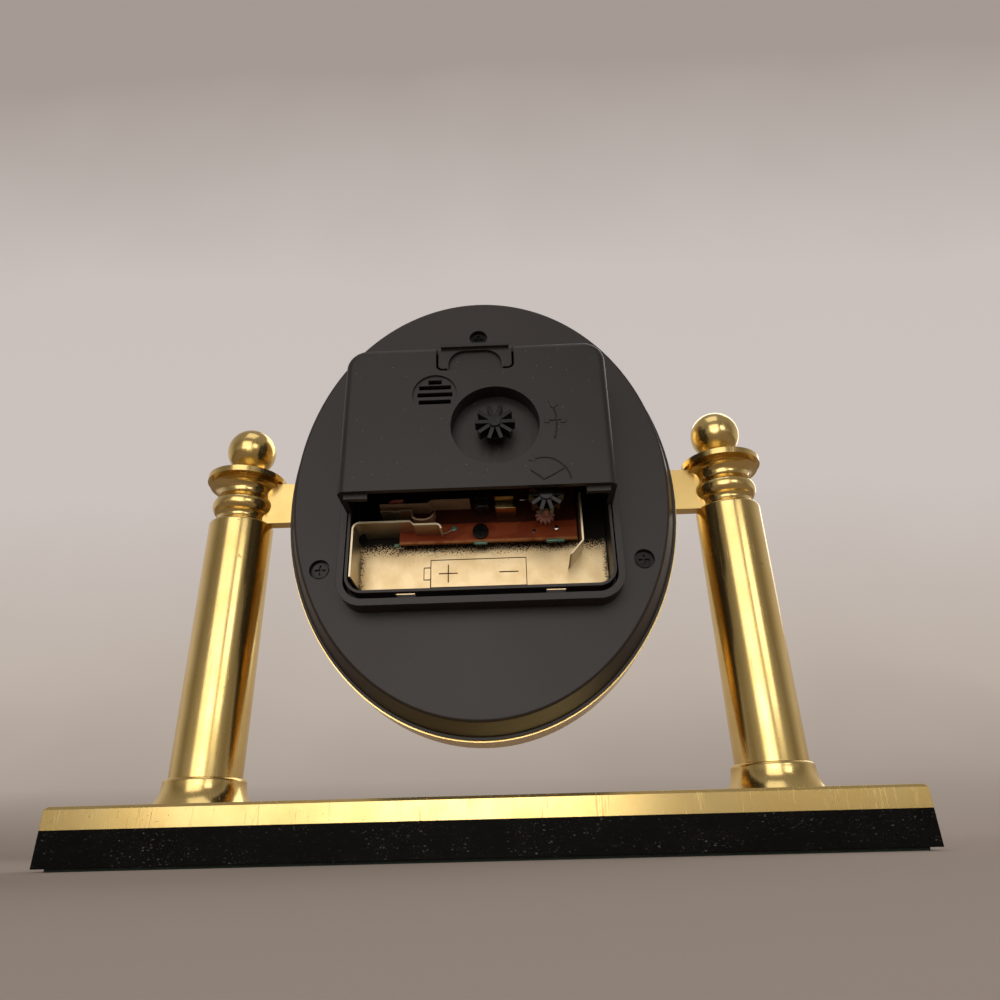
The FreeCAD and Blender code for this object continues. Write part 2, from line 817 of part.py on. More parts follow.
# Front of the head: case, glass, ring, dial and the support behind it
case = Piece("front_case")
case.pad(oval(case_half_width, case_half_height), case_face, case_back)
case.soften("Fillet", "case_round", at_level(case_face))
case.cut(oval(cavity_half_width, cavity_half_height), glass_front, case_back)
case.cut(oval(f"{cavity_half_width}-case_ledge", f"{cavity_half_height}-case_ledge"), case_face, glass_front)
strap_low = "strap_rise-strap_height/2"
strap_slot = rectangle(
    f"{strap_low}-strap_clearance", f"-back_plane-({slot_half})",
    f"{strap_low}+strap_height+strap_clearance", f"-back_plane+{slot_half}")
case.cut(strap_slot, f"-({case_half_width})", case_half_width, "YZ_Plane")
keep(case.body, "front_case", "head")

insert_half_width = f"{cavity_half_width}-insert_clearance"
insert_half_height = f"{cavity_half_height}-insert_clearance"
insert = oval(insert_half_width, insert_half_height)

glass = Piece("dial_glass")
glass.pad(insert, glass_front, glass_back)
keep(glass.body, "dial_glass", "head")

ring = Piece("dial_ring")
ring.pad(insert, glass_back, dial_front)
ring.cut(oval(f"{insert_half_width}-case_ledge", f"{insert_half_height}-case_ledge"), glass_back, dial_front)
keep(ring.body, "dial_ring", "head")

dial = Piece("dial")
dial.pad(insert, dial_front, dial_back)
dial.cut(circle("bush_radius+fit"), dial_front, dial_back)
keep(dial.body, "dial", "head")

screw_side, _ = polar("oval_half_width-screw_margin", screw_angle)
_, screw_drop = polar("oval_half_height-screw_margin", screw_angle)
screw_rise = "oval_half_height-top_screw_margin"
screw_places = ((f"-{screw_side}", f"-{screw_drop}"), (screw_side, f"-{screw_drop}"), ("0", screw_rise))


def at_screws(radius):
    return both(*(circle(radius, x, y) for x, y in screw_places))


plate_x, plate_y = "plate_half_width", "plate_half_height"
support = Piece("dial_support")
support.pad(insert, dial_back, support_back)
window_x, window_y = f"{plate_x}+screw_clearance", f"{plate_y}+screw_clearance"
support.cut(rectangle(f"-({window_x})", f"-({window_y})", window_x, window_y), dial_back, support_back)
support.pad(at_screws("post_radius"), dial_back, "-cover_wall")
shell_half_width, shell_half_height = "oval_half_width-cover_wall", "oval_half_height-cover_wall"
beyond_shell = oval(f"{shell_half_width}-screw_clearance", f"{shell_half_height}-screw_clearance")
support.cut(both(insert, beyond_shell), support_back, "-cover_wall")
pilot_end = "-screw_length-screw_recess_depth-screw_clearance"
support.cut(at_screws("screw_shank_radius+press"), pilot_end, "-cover_wall")
keep(support.body, "dial_support", "head")

# Back cover: drafted oval shell with a lip, and the raised rim round its window,
# with a groove in its top and slots through its inner lip for the catches of a door
window_half_width = "rim_half_width-rim_wall"
window_corner = "rim_corner-rim_wall"
cover = Piece("back_cover")
cover.pad(oval("oval_half_width+lip_spread", "oval_half_height+lip_spread"), case_back, lip_back)
cover.loft(
    oval("oval_half_width+cover_flare", "oval_half_height+cover_flare"), lip_back,
    oval("oval_half_width", "oval_half_height"), "0")
cover.soften("Fillet", "cover_edge", at_level("0"))
cover.pad(rounded("rim_half_width", "-rim_bottom", "rim_top", "rim_corner"), "-cover_wall", "rim_height")
cover.cut(oval(shell_half_width, shell_half_height), case_back, "-cover_wall")
window_bottom = "-rim_bottom+sill_wall"
window = rounded(window_half_width, window_bottom, "rim_top-rim_wall", window_corner)
cover.cut(window, "-cover_wall", "rim_height")
groove = both(
    rounded(
        "rim_half_width-rim_outer_wall", "-rim_bottom+rim_outer_wall", "rim_top-rim_outer_wall",
        "rim_corner-rim_outer_wall"),
    rounded(
        f"{window_half_width}+rim_lip", f"{window_bottom}-rim_lip", "rim_top-rim_wall+rim_lip",
        f"{window_corner}+rim_lip"))
cover.cut(groove, "rim_height-groove_depth", "rim_height")
catch_left, catch_right = "catch_offset-catch_width/2", "catch_offset+catch_width/2"
catch_bottom, catch_top = f"{window_bottom}-3*rim_lip/2", f"{window_bottom}+rim_lip/2"
catches = both(
    rectangle(f"-({catch_right})", catch_bottom, f"-({catch_left})", catch_top),
    rectangle(catch_left, catch_bottom, catch_right, catch_top))
cover.cut(catches, "catch_low", "catch_high")
cover.cut(at_screws("screw_recess_radius"), "-screw_recess_depth", "0")
cover.cut(at_screws("screw_shank_radius+screw_clearance"), "-cover_wall", "0")
keep(cover.body, "back_cover", "head")


# A cross-head screw standing on its seat, with a flat cylindrical head
def screw(name, x, y, seat, length):
    head_top = f"{seat}+screw_head_thick"
    head = bar(f"{name}_head", "screw_head_radius", seat, head_top, x, y)
    shank = bar(f"{name}_shank", "screw_shank_radius", f"{seat}-{length}", head_top, x, y)
    half, reach, floor = "screw_slot/2", "2*screw_head_radius/3", f"{head_top}-screw_slot_depth"
    narrow_x, wide_x = (f"{x}-{half}", f"{x}+{half}"), (f"{x}-{reach}", f"{x}+{reach}")
    narrow_y, wide_y = (f"{y}-{half}", f"{y}+{half}"), (f"{y}-{reach}", f"{y}+{reach}")
    upright = brick(f"{name}_slot", *narrow_x, *wide_y, floor, head_top)
    level = brick(f"{name}_cross", *wide_x, *narrow_y, floor, head_top)
    return without(name, joined(f"{name}_blank", head, shank), joined(f"{name}_recess", upright, level))


cover_screws = [
    screw(f"cover_screw_{index}", x, y, "-screw_recess_depth", "screw_length")
    for index, (x, y) in enumerate(screw_places, start=1)]
group("back_cover_screws", cover_screws, "head")

# Movement cover: a box open towards the battery bay, with the knob's dish, the grille and the latch
lid = Piece("movement_cover")
lid_x, lid_low = "lid_half_width", "-lid_bottom"
lid_inner, lid_ceiling = "lid_half_width-lid_wall", "lid_rise-lid_wall"
below_lid = f"{lid_low}-2*lid_round"
corner_x, corner_y, corner_round = "lid_half_width-lid_corner", "lid_top-lid_corner", "1.0001*lid_corner"
lid.pad(
    outline(
        (f"-{lid_x}", below_lid), (lid_x, below_lid), (lid_x, corner_y, corner_round, "right"),
        (corner_x, "lid_top"), (f"-({corner_x})", "lid_top", corner_round, "right"), (f"-{lid_x}", corner_y)),
    "rim_height", "lid_rise")
lid.soften("Fillet", "lid_round", at_level("lid_rise"))
lid.cut(rectangle(f"-({lid_x})", below_lid, lid_x, lid_low), "rim_height", "lid_rise")
lid.cut(rectangle(f"-({lid_inner})", lid_low, lid_inner, "lid_top-lid_wall"), "rim_height", lid_ceiling)
tab_x, tab_bottom, tab_top = f"{lid_inner}-tab_width", f"{lid_low}-tab_drop", f"{lid_low}+lid_wall"
tabs = both(
    rectangle(f"-({lid_inner})", tab_bottom, f"-({tab_x})", tab_top),
    rectangle(tab_x, tab_bottom, lid_inner, tab_top))
lid.pad(tabs, f"{lid_ceiling}-tab_thick", lid_ceiling)
dish_bottom = "lid_rise-dish_depth"
lid.pad(circle("dish_radius+dish_floor", set_x, set_y), f"{dish_bottom}-dish_floor", lid_ceiling)
lid.cut(circle("dish_radius", set_x, set_y), dish_bottom, "lid_rise")
lid.cut(circle("dish_hole_radius", set_x, set_y), f"{dish_bottom}-dish_floor", dish_bottom)
lid.cut(circle("grille_radius", "-grille_side", "grille_rise"), "lid_rise-grille_sink", "lid_rise")

# Slots of the grille from the bottom up: half lengths as shares of its radius, heights as shares of the pitch
slot_length_shares = (0.72, 0.79, 0.72, 0.3)
slot_height_shares = (-1, 0, 1, 1.75)


def grille_slot(length_share, height_share):
    half, middle = f"grille_radius*{length_share}", f"grille_rise+grille_pitch*{height_share}"
    return rectangle(
        f"-grille_side-{half}", f"{middle}-grille_slot/2", f"-grille_side+{half}", f"{middle}+grille_slot/2")


slots = both(*(grille_slot(*shares) for shares in zip(slot_length_shares, slot_height_shares)))
lid.cut(slots, lid_ceiling, "lid_rise-grille_sink")
latch_x, latch_low = "latch_half_width", "lid_top-latch_drop"
latch_inner, hook = f"{latch_x}-latch_gap", "thumb_half_width+latch_gap/2"


# The gap round one side of the latch, with its outward and inward bends
def latch_cut(sign, outward, inward):
    gap_top, bend_x, bend_y = f"{latch_low}+latch_gap", f"{latch_x}-latch_round", f"{latch_low}+latch_round"
    points = [
        (latch_x, bend_y), (latch_x, "lid_top"), (latch_inner, "lid_top"),
        (latch_inner, bend_y, "1.0001*(latch_round-latch_gap)", inward), (bend_x, gap_top), (hook, gap_top),
        (hook, latch_low), (bend_x, latch_low, "1.0001*latch_round", outward)]
    return outline(*((f"{sign}({x})", *rest) for x, *rest in points))


lid.cut(both(latch_cut("-", "left", "right"), latch_cut("", "right", "left")), lid_ceiling, "lid_rise")
lip_x = f"{latch_inner}-latch_gap"
lip = rectangle(f"-({lip_x})", "lid_top-latch_lip_height", lip_x, "lid_top")
lid.pad(lip, "lid_rise-lid_round", "lid_rise+latch_lip")
thumb_x, thumb_top = "thumb_half_width", f"{latch_low}+thumb_height"
thumb_bend_x, thumb_bend_y = f"{thumb_x}-thumb_round", f"{thumb_top}-thumb_round"
thumb = outline(
    (f"-{thumb_x}", latch_low), (thumb_x, latch_low), (thumb_x, thumb_bend_y, "1.0001*thumb_round", "right"),
    (thumb_bend_x, thumb_top), (f"-({thumb_bend_x})", thumb_top, "1.0001*thumb_round", "right"),
    (f"-{thumb_x}", thumb_bend_y))
lid.cut(thumb, "lid_rise-thumb_sink", "lid_rise")
keep(lid.body, "movement_cover", "head")

# Arbors that pass through the movement, with the radius and fit of each one's hole
set_knob_x, set_knob_y = set_x, set_y
alarm_knob_x, alarm_knob_y = relay_x, "-alarm_drop"
pivots = (
    ("second_radius", "0", "0"), ("small_arbor", third_x, third_y), ("small_arbor", idle_x, idle_y),
    ("second_radius", rotor_x, rotor_y), ("small_arbor", relay_x, relay_y), ("set_arbor", set_x, set_y),
    ("set_arbor", alarm_knob_x, alarm_knob_y))
through_holes = both(*(circle(f"{radius}+through_gap", x, y) for radius, x, y in pivots[4:]))

# Front plate of the movement with the threaded bush that the dial hangs on
front_plate = Piece("movement_front_plate")
plate_shape = rectangle(f"-{plate_x}", f"-{plate_y}", plate_x, plate_y)
front_plate.pad(plate_shape, dial_back, front_plate_back)
front_plate.pad(circle("bush_radius"), bush_end, dial_back)
front_plate.cut(circle(bush_bore), bush_end, front_plate_back)
front_plate.cut(circle("small_arbor+fit", relay_x, relay_y), dial_back, front_plate_back)
keep(front_plate.body, "movement_front_plate", "head")

hub_washer = Piece("hub_washer")
hub_washer.pad(circle("hub_washer_radius"), f"({dial_front})-hub_washer_thick", dial_front)
hub_washer.cut(circle("bush_radius+fit"), f"({dial_front})-hub_washer_thick", dial_front)
keep(hub_washer.body, "hub_washer", "head")

nut_back = f"({dial_front})-hub_washer_thick"
nut_front = f"({nut_back})-hub_nut_thick"
hub_nut_blank = hexagon("hub_nut_blank", "hub_nut_flats", nut_front, nut_back)
hub_nut_bore = bar("hub_nut_bore", "bush_radius+press", nut_front, nut_back)
keep(without("hub_nut", hub_nut_blank, hub_nut_bore), "hub_nut", "head")

# Movement frame: middle plate with walls to the front plate, coil posts and board bosses
stator_left, stator_right = f"{rotor_x}-stator_reach", f"{rotor_x}+stator_reach"
stator_top = f"{rotor_y}+stator_rise"
core_middle_y = f"{stator_top}-core_width/2"
coil_posts = both(
    circle("boss_radius-through_gap", f"{stator_left}+stator_arm/2", core_middle_y),
    circle("boss_radius-through_gap", f"{stator_right}-stator_arm/2", core_middle_y))
boss_places = (("-boss_side", "boss_rise"), ("boss_side", "boss_rise"), ("0", "-board_screw_drop"))
frame = Piece("movement_frame")
frame.pad(plate_shape, middle_front, middle_back)
wall_x, wall_y = f"{plate_x}-frame_wall", f"{plate_y}-frame_wall"
wall_inside = rectangle(f"-({wall_x})", f"-({wall_y})", wall_x, wall_y)
frame.pad(both(plate_shape, wall_inside), front_plate_back, middle_front)
frame.pad(coil_posts, core_back, middle_front)
frame.pad(both(*(circle("boss_radius", x, y) for x, y in boss_places)), middle_back, board_front)
frame.cut(both(*(circle(f"{radius}+fit", x, y) for radius, x, y in pivots)), middle_front, middle_back)
frame.cut(circle("screw_shank_radius+press", "0", "-board_screw_drop"), middle_front, board_front)
keep(frame.body, "movement_frame", "head")

bay_floor = Piece("bay_floor")
bay_floor.pad(plate_shape, middle_back, floor_back)
bay_floor.cut(both(*(circle("boss_radius+fit", x, y) for x, y in boss_places)), middle_back, floor_back)
bay_floor.cut(through_holes, middle_back, floor_back)
keep(bay_floor.body, "bay_floor", "head")

# Circuit board and what stands on it
board = Piece("circuit_board")
board.pad(rectangle("-board_left", "-board_drop", "board_right", "board_rise"), board_front, "0")
board_holes = both(
    circle("small_arbor+through_gap", relay_x, relay_y),
    circle("set_arbor+through_gap", alarm_knob_x, alarm_knob_y),
    circle("screw_shank_radius+screw_clearance", "0", "-board_screw_drop"))
board.cut(board_holes, board_front, "0")
keep(board.body, "circuit_board", "head")
board_screw = screw("board_screw", "0", "-board_screw_drop", "0", "middle_level+middle_thick/2")
keep(board_screw, "board_screw", "head")

chip = Piece("chip")
chip.pad(circle("chip_radius", "-chip_side", "-chip_drop"), "0", "chip_thick")
keep(chip.body, "chip", "head")

crystal = Piece("crystal_can")
crystal.pad(circle("can_radius", "can_rise", "can_radius"), "-can_side-can_length", "-can_side", "YZ_Plane")
keep(crystal.body, "crystal_can", "head")

lever = Piece("switch_lever")
lever_bend = "-lever_step_side+lever_step"
lever_top, lever_end_top = "-lever_drop", "-lever_drop+lever_step"
lever_shape = outline(
    ("-lever_left", f"{lever_top}-contact_thick"), ("-lever_step_side", f"{lever_top}-contact_thick"),
    (lever_bend, f"{lever_end_top}-contact_thick"), ("-lever_right", f"{lever_end_top}-contact_thick"),
    ("-lever_right", lever_end_top), (lever_bend, lever_end_top), ("-lever_step_side", lever_top),
    ("-lever_left", lever_top))
lever.pad(lever_shape, "0", "lever_high")
keep(lever.body, "switch_lever", "head")

sounder = Piece("sounder")
sounder_shape = circle("sounder_radius", "-sounder_side", "sounder_rise")
sounder.pad(sounder_shape, floor_back, f"{floor_back}+sounder_thick")
keep(sounder.body, "sounder", "head")

# Battery contacts: a strip on edge, bent from the bay's end along the board, and a leaf with a kicked end
plus = Piece("contact_plus")
plus_inner = "-plus_side+contact_thick"
plus_corner_x, plus_corner_y = "-plus_side+plus_bend", "-plus_drop-plus_bend"
plus_low, plus_bend_side = "-plus_drop-plus_step", "-plus_step_side+plus_step"
tip_x, tip_low = "-plus_end-plus_tip", f"{plus_low}-plus_tip"
plus.pad(
    outline(
        ("-plus_side", tip_low), (plus_inner, tip_low),
        (plus_inner, plus_corner_y, "1.0001*(plus_bend-contact_thick)", "left"),
        (plus_corner_x, "-plus_drop-contact_thick"), ("-plus_step_side", "-plus_drop-contact_thick"),
        (plus_bend_side, f"{plus_low}-contact_thick"),
        (tip_x, f"{plus_low}-contact_thick", "1.0001*(plus_tip-contact_thick)", "left"),
        ("-plus_end-contact_thick", tip_low), ("-plus_end", tip_low, "1.0001*plus_tip", "right"),
        (tip_x, plus_low), (plus_bend_side, plus_low), ("-plus_step_side", "-plus_drop"),
        (plus_corner_x, "-plus_drop", "1.0001*plus_bend", "right"), ("-plus_side", plus_corner_y)),
    "0", "contact_high")
plus.pad(rectangle("-plus_side", "-plus_foot", plus_inner, tip_low), floor_back, "contact_high")
beside_board = "-board_left-through_gap"
plus_skirt = rectangle(plus_corner_x, "-plus_drop-contact_thick", beside_board, "-plus_drop")
plus.pad(plus_skirt, floor_back, "0")
keep(plus.body, "contact_plus", "head")

minus = Piece("contact_minus")
kick_low = "-minus_drop-minus_kick_drop"
minus.pad(
    outline(
        ("minus_side", "-minus_top"), ("minus_side", "-minus_drop"), ("minus_side-minus_kick", kick_low),
        ("minus_side-minus_kick+contact_thick", kick_low), ("minus_side+contact_thick", "-minus_drop"),
        ("minus_side+contact_thick", "-minus_top")),
    floor_back, "contact_high")
keep(minus.body, "contact_minus", "head")

# Motor: stator plate round the rotor, core across its arms, coil on the core
stator = Piece("stator")
bar_low, bar_high = f"{rotor_y}-stator_half_bar", f"{rotor_y}+stator_half_bar"
stator.pad(
    outline(
        (stator_left, bar_low), (stator_right, bar_low), (stator_right, stator_top),
        (f"{stator_right}-stator_arm", stator_top), (f"{stator_right}-stator_arm", bar_high),
        (f"{stator_left}+stator_arm", bar_high), (f"{stator_left}+stator_arm", stator_top),
        (stator_left, stator_top)),
    cannon_level, stator_back)
stator.cut(circle("rotor_magnet_radius+stator_gap", rotor_x, rotor_y), cannon_level, stator_back)
keep(stator.body, "stator", "head")

core = Piece("coil_core")
core.pad(rectangle(stator_left, f"{stator_top}-core_width", stator_right, stator_top), stator_back, core_back)
keep(core.body, "coil_core", "head")

coil = Piece("coil")
coil_left, coil_right = f"{stator_left}+stator_arm+coil_gap", f"{stator_right}-stator_arm-coil_gap"
core_middle_z = f"{stator_back}+core_thick/2"
coil.pad(circle("coil_radius", core_middle_y, core_middle_z), coil_left, coil_right, "YZ_Plane")
core_hole = rectangle(
    f"{stator_top}-core_width-press", f"{stator_back}-press", f"{stator_top}+press", f"{core_back}+press")
coil.cut(core_hole, coil_left, coil_right, "YZ_Plane")
keep(coil.body, "coil", "head")


# Wheels and arbors, each drawn about its own axis
def bored(shape, radius, bottom, top):
    return shape.cut(disc(radius, bottom, top))


second_front = f"({second_hand_level})-hand_thick"
made(
    "second_wheel",
    fused(
        disc("second_radius", second_front, arbor_end),
        toothed(second_teeth, "drive_module", second_wheel_level, second_pinion_level, idle_angle),
        toothed(second_pinion_teeth, third_module, second_pinion_level, third_wheel_back, third_angle)),
    "head")
made(
    "third_wheel",
    fused(
        disc("small_arbor", centre_wheel_level, arbor_end),
        toothed(
            third_pinion_teeth, "train_module", centre_wheel_level, third_wheel_level,
            facing(third_pinion_teeth, third_angle)),
        toothed(
            third_teeth, third_module, third_wheel_level, third_wheel_back,
            facing(third_teeth, third_angle))),
    "head", third_x, third_y)
made(
    "centre_wheel",
    bored(
        toothed(centre_teeth, "train_module", centre_wheel_level, centre_wheel_back, third_angle),
        f"{cannon_radius}+fit", centre_wheel_level, centre_wheel_back),
    "head")
made(
    "idle_wheel",
    fused(
        disc("small_arbor", second_wheel_level, arbor_end),
        toothed(
            idle_pinion_teeth, "drive_module", second_wheel_level, idle_wheel_level,
            facing(idle_pinion_teeth, idle_angle)),
        toothed(idle_teeth, "rotor_module", idle_wheel_level, idle_wheel_back, rotor_angle)),
    "head", idle_x, idle_y)
magnet_front = f"({cannon_level})-(rotor_magnet_height-stator_thick)/2"
magnet_back = f"({magnet_front})+rotor_magnet_height"
made(
    "rotor",
    fused(
        disc("second_radius", magnet_front, arbor_end),
        toothed(
            rotor_teeth, "rotor_module", f"({idle_wheel_level})-axial_gap", f"({idle_wheel_back})+axial_gap",
            facing(rotor_teeth, rotor_angle))),
    "head", rotor_x, rotor_y)
magnet = disc("rotor_magnet_radius", magnet_front, magnet_back)
made(
    "rotor_magnet", bored(magnet, "second_radius+press", magnet_front, magnet_back), "head", rotor_x, rotor_y)
minute_front = f"({minute_hand_level})-hand_thick"
cannon_end = f"({centre_wheel_back})+press"
made(
    "cannon_pinion",
    bored(
        fused(
            disc(cannon_radius, minute_front, cannon_end),
            toothed(cannon_teeth, "motion_module", cannon_level, cannon_back, set_angle)),
        cannon_bore, minute_front, cannon_end),
    "head")
hour_front = f"({hour_hand_level})-hand_thick"
hour_wheel_back = f"({hour_wheel_level})+wheel_thick"
made(
    "hour_wheel",
    bored(
        fused(
            disc(hour_radius, hour_front, hour_wheel_back),
            toothed(hour_teeth, "motion_module", hour_wheel_level, hour_wheel_back, set_angle)),
        hour_bore, hour_front, hour_wheel_back),
    "head")
alarm_front = f"({alarm_hand_level})-hand_thick"
alarm_wheel_back = f"({alarm_wheel_level})+wheel_thick"
made(
    "alarm_wheel",
    bored(
        fused(
            disc(alarm_radius, alarm_front, alarm_wheel_back),
            toothed(alarm_teeth, "alarm_module", alarm_wheel_level, alarm_wheel_back, relay_angle)),
        alarm_bore, alarm_front, alarm_wheel_back),
    "head")

# Setting arbors with their wheels, and the relay between the alarm knob and the alarm wheel
time_knob_top = "lid_rise+knob_proud"
set_front = f"({alarm_wheel_back})+axial_gap"
made(
    "time_set_arbor",
    fused(
        disc("set_arbor", set_front, time_knob_top),
        toothed(
            minute_pinion_teeth, "motion_module", set_front, minute_wheel_level,
            facing(minute_pinion_teeth, set_angle)),
        toothed(
            minute_wheel_teeth, "motion_module", minute_wheel_level, f"({minute_wheel_level})+wheel_thick",
            facing(minute_wheel_teeth, set_angle))),
    "head", set_x, set_y)
made(
    "alarm_set_arbor",
    fused(
        disc("set_arbor", f"({middle_front})+fit", "alarm_knob_level"),
        toothed(alarm_knob_teeth, "alarm_module", "relay_level", "relay_level+2*wheel_thick", 90)),
    "head", alarm_knob_x, alarm_knob_y)
relay_front, relay_back = "relay_level+wheel_thick/2", "relay_level+1.5*wheel_thick"
made(
    "alarm_relay",
    fused(
        disc("small_arbor", f"({dial_back})+axial_gap", relay_back),
        toothed(relay_teeth, "alarm_module", relay_front, relay_back, facing(relay_teeth, 90)),
        toothed(
            relay_pinion_teeth, "alarm_module", f"({alarm_wheel_level})-axial_gap/2",
            f"({alarm_wheel_back})+axial_gap/2", facing(relay_pinion_teeth, relay_angle))),
    "head", relay_x, relay_y)


# Star knobs: a hub with fins round it on a smaller disc, pressed on the arbor
def knob(name, radius, x, y, top):
    piece = Piece(name)
    piece.pad(circle(f"2*{radius}/3"), "-knob_height", "-knob_height+knob_base")
    fin = piece.pad(rectangle("0", "-fin_width/2", radius, "fin_width/2"), "-knob_height+knob_base/2", "0")
    piece.around(fin, knob_fins)
    piece.pad(circle("knob_hub_radius"), "-knob_height+knob_base/2", "knob_hub_proud")
    piece.cut(circle("set_arbor+press"), "-knob_height", "0")
    keep(piece.body, name, "head", x, y, top)


knob("time_set_knob", "time_knob_radius", set_x, set_y, time_knob_top)
knob("alarm_set_knob", "alarm_knob_radius", alarm_knob_x, alarm_knob_y, "alarm_knob_level")


# Hands, at eight minutes and 37 seconds past ten, the alarm set to half past six
second_angle, minute_angle, hour_angle, alarm_angle = 222.0, 51.7, 304.3, 195.0


def hand(name, reach, width, tube, back, angle):
    piece = Piece(name)
    half, tail_half, tip_half = f"{width}/2", f"{width}/3", f"{width}/8"
    piece.pad(
        outline(
            (f"-{tail_half}", "-hand_tail"), (tail_half, "-hand_tail"), (half, "0"), (tip_half, reach),
            (f"-{tip_half}", reach), (f"-{half}", "0")),
        "-hand_thick", "0")
    piece.pad(circle(f"{tube}+hand_boss"), "-hand_thick", "0")
    piece.cut(circle(f"{tube}+press"), "-hand_thick", "0")
    keep(piece.body, name, "head", z=back, spin=angle)


hand("second_hand", "second_reach", "second_width", "second_radius", second_hand_level, second_angle)
hand("minute_hand", "minute_reach", "minute_width", cannon_radius, minute_hand_level, minute_angle)
hand("hour_hand", "hour_reach", "hour_width", hour_radius, hour_hand_level, hour_angle)
hand("alarm_hand", "alarm_reach", "alarm_width", alarm_radius, alarm_hand_level, alarm_angle)

# Check every object, then write each sub-part to its own file
doc.recompute()
for item in doc.Objects:
    if "Invalid" in item.State or "Error" in item.State:
        raise RuntimeError(f"{item.Label}: {item.State}")
for name, item in parts.items():
    if item.Shape.isNull() or not item.Shape.isValid() or not item.Shape.Solids:
        raise RuntimeError(f"{name}: no valid solid")
os.makedirs("parts", exist_ok=True)
for name, item in parts.items():
    item.Shape.exportStep(os.path.join("parts", name + ".step"))
print(f"{len(parts)} sub-parts written")
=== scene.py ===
import json
from math import cos, pi, radians, sin

import bmesh
import bpy
from mathutils import Matrix, Vector


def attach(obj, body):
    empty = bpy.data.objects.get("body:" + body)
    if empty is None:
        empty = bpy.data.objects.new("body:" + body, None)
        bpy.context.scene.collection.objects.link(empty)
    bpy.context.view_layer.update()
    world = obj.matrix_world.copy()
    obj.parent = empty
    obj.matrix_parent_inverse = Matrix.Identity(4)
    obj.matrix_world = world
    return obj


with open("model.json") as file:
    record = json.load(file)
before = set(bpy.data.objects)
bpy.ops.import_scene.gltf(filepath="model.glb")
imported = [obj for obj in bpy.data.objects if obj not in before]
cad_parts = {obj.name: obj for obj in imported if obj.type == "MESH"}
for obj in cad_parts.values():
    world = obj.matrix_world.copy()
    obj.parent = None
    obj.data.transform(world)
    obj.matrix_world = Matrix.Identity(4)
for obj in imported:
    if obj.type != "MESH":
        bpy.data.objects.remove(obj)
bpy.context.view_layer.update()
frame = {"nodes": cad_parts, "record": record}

nodes = frame["nodes"]
print("stage: frame loaded,", len(nodes), "nodes")


# The head's own plane: across to the viewer's right from behind, height above
# the desk, and depth from the flat of the back cover, all in millimetres.
backPlane = 10.0


def spot(across, height, depth):
    return Vector((-across, backPlane + depth, height)) / 1000


# Shader maths

class Value:
    def __init__(self, web, socket):
        self.web = web
        self.socket = socket

    def maths(self, operation, first, second=0.0):
        return self.web.add("ShaderNodeMath", {"operation": operation}, {0: first, 1: second})

    def __add__(self, other):
        return self.maths("ADD", self, other)

    def __radd__(self, other):
        return self.maths("ADD", other, self)

    def __sub__(self, other):
        return self.maths("SUBTRACT", self, other)

    def __rsub__(self, other):
        return self.maths("SUBTRACT", other, self)

    def __mul__(self, other):
        return self.maths("MULTIPLY", self, other)

    def __rmul__(self, other):
        return self.maths("MULTIPLY", other, self)

    def atLeast(self, other):
        return self.maths("MAXIMUM", self, other)

    def atMost(self, other):
        return self.maths("MINIMUM", self, other)

    def size(self):
        return self.maths("ABSOLUTE", self)


class Web:
    def __init__(self, tree):
        self.tree = tree
        tree.nodes.clear()

    def add(self, kind, settings=None, inputs=None, out=0):
        node = self.tree.nodes.new(kind)
        for key, value in (settings or {}).items():
            if key == "stops":
                ramp = node.color_ramp
                while len(ramp.elements) < len(value):
                    ramp.elements.new(0.5)
                for stop, (position, colour) in zip(ramp.elements, value):
                    stop.position = position
                    stop.color = (*colour, 1.0)
            else:
                setattr(node, key, value)
        for key, value in (inputs or {}).items():
            if isinstance(value, Value):
                self.tree.links.new(value.socket, node.inputs[key])
            elif isinstance(value, tuple) and len(value) == 3 and node.inputs[key].type == "RGBA":
                node.inputs[key].default_value = (*value, 1.0)
            else:
                node.inputs[key].default_value = value
        return Value(self, node.outputs[out]) if node.outputs else None

    # object coordinates in millimetres, squeezed along each axis and turned
    def place(self, squeeze=(1, 1, 1), turn=(0, 0, 0)):
        seen = self.add("ShaderNodeTexCoord", out="Object")
        scale = tuple(1000 * share for share in squeeze)
        return self.add(
            "ShaderNodeMapping", {"vector_type": "POINT"},
            {"Vector": seen, "Scale": scale, "Rotation": turn})

    def noise(self, place, scale, detail=2.0, roughness=0.5):
        return self.add(
            "ShaderNodeTexNoise", {"noise_dimensions": "3D"},
            {"Vector": place, "Scale": scale, "Detail": detail, "Roughness": roughness})

    def cells(self, place, scale):
        return self.add(
            "ShaderNodeTexVoronoi", {"feature": "F1"}, {"Vector": place, "Scale": scale}, "Distance")

    def fade(self, value, low, high):
        return self.add(
            "ShaderNodeMapRange", {"clamp": True}, {"Value": value, "From Min": low, "From Max": high})

    def part(self, vector, axis):
        return self.add("ShaderNodeSeparateXYZ", None, {"Vector": vector}, axis)

    def blend(self, factor, first, second):
        return self.add(
            "ShaderNodeMix", {"data_type": "RGBA"}, {"Factor": factor, 6: first, 7: second}, 2)

    def bump(self, height, strength, distance, under=None):
        inputs = {"Height": height, "Strength": strength, "Distance": distance / 1000}
        if under:
            inputs["Normal"] = under
        return self.add("ShaderNodeBump", None, inputs)

    def roundEdge(self, radius):
        return self.add("ShaderNodeBevel", {"samples": 4}, {"Radius": radius / 1000})


def newPaint(name):
    paint = bpy.data.materials.new(name)
    paint.use_nodes = True
    return paint, Web(paint.node_tree)


def close(web, inputs):
    surface = web.add("ShaderNodeBsdfPrincipled", None, inputs)
    web.add("ShaderNodeOutputMaterial", None, {"Surface": surface})


# Plastics

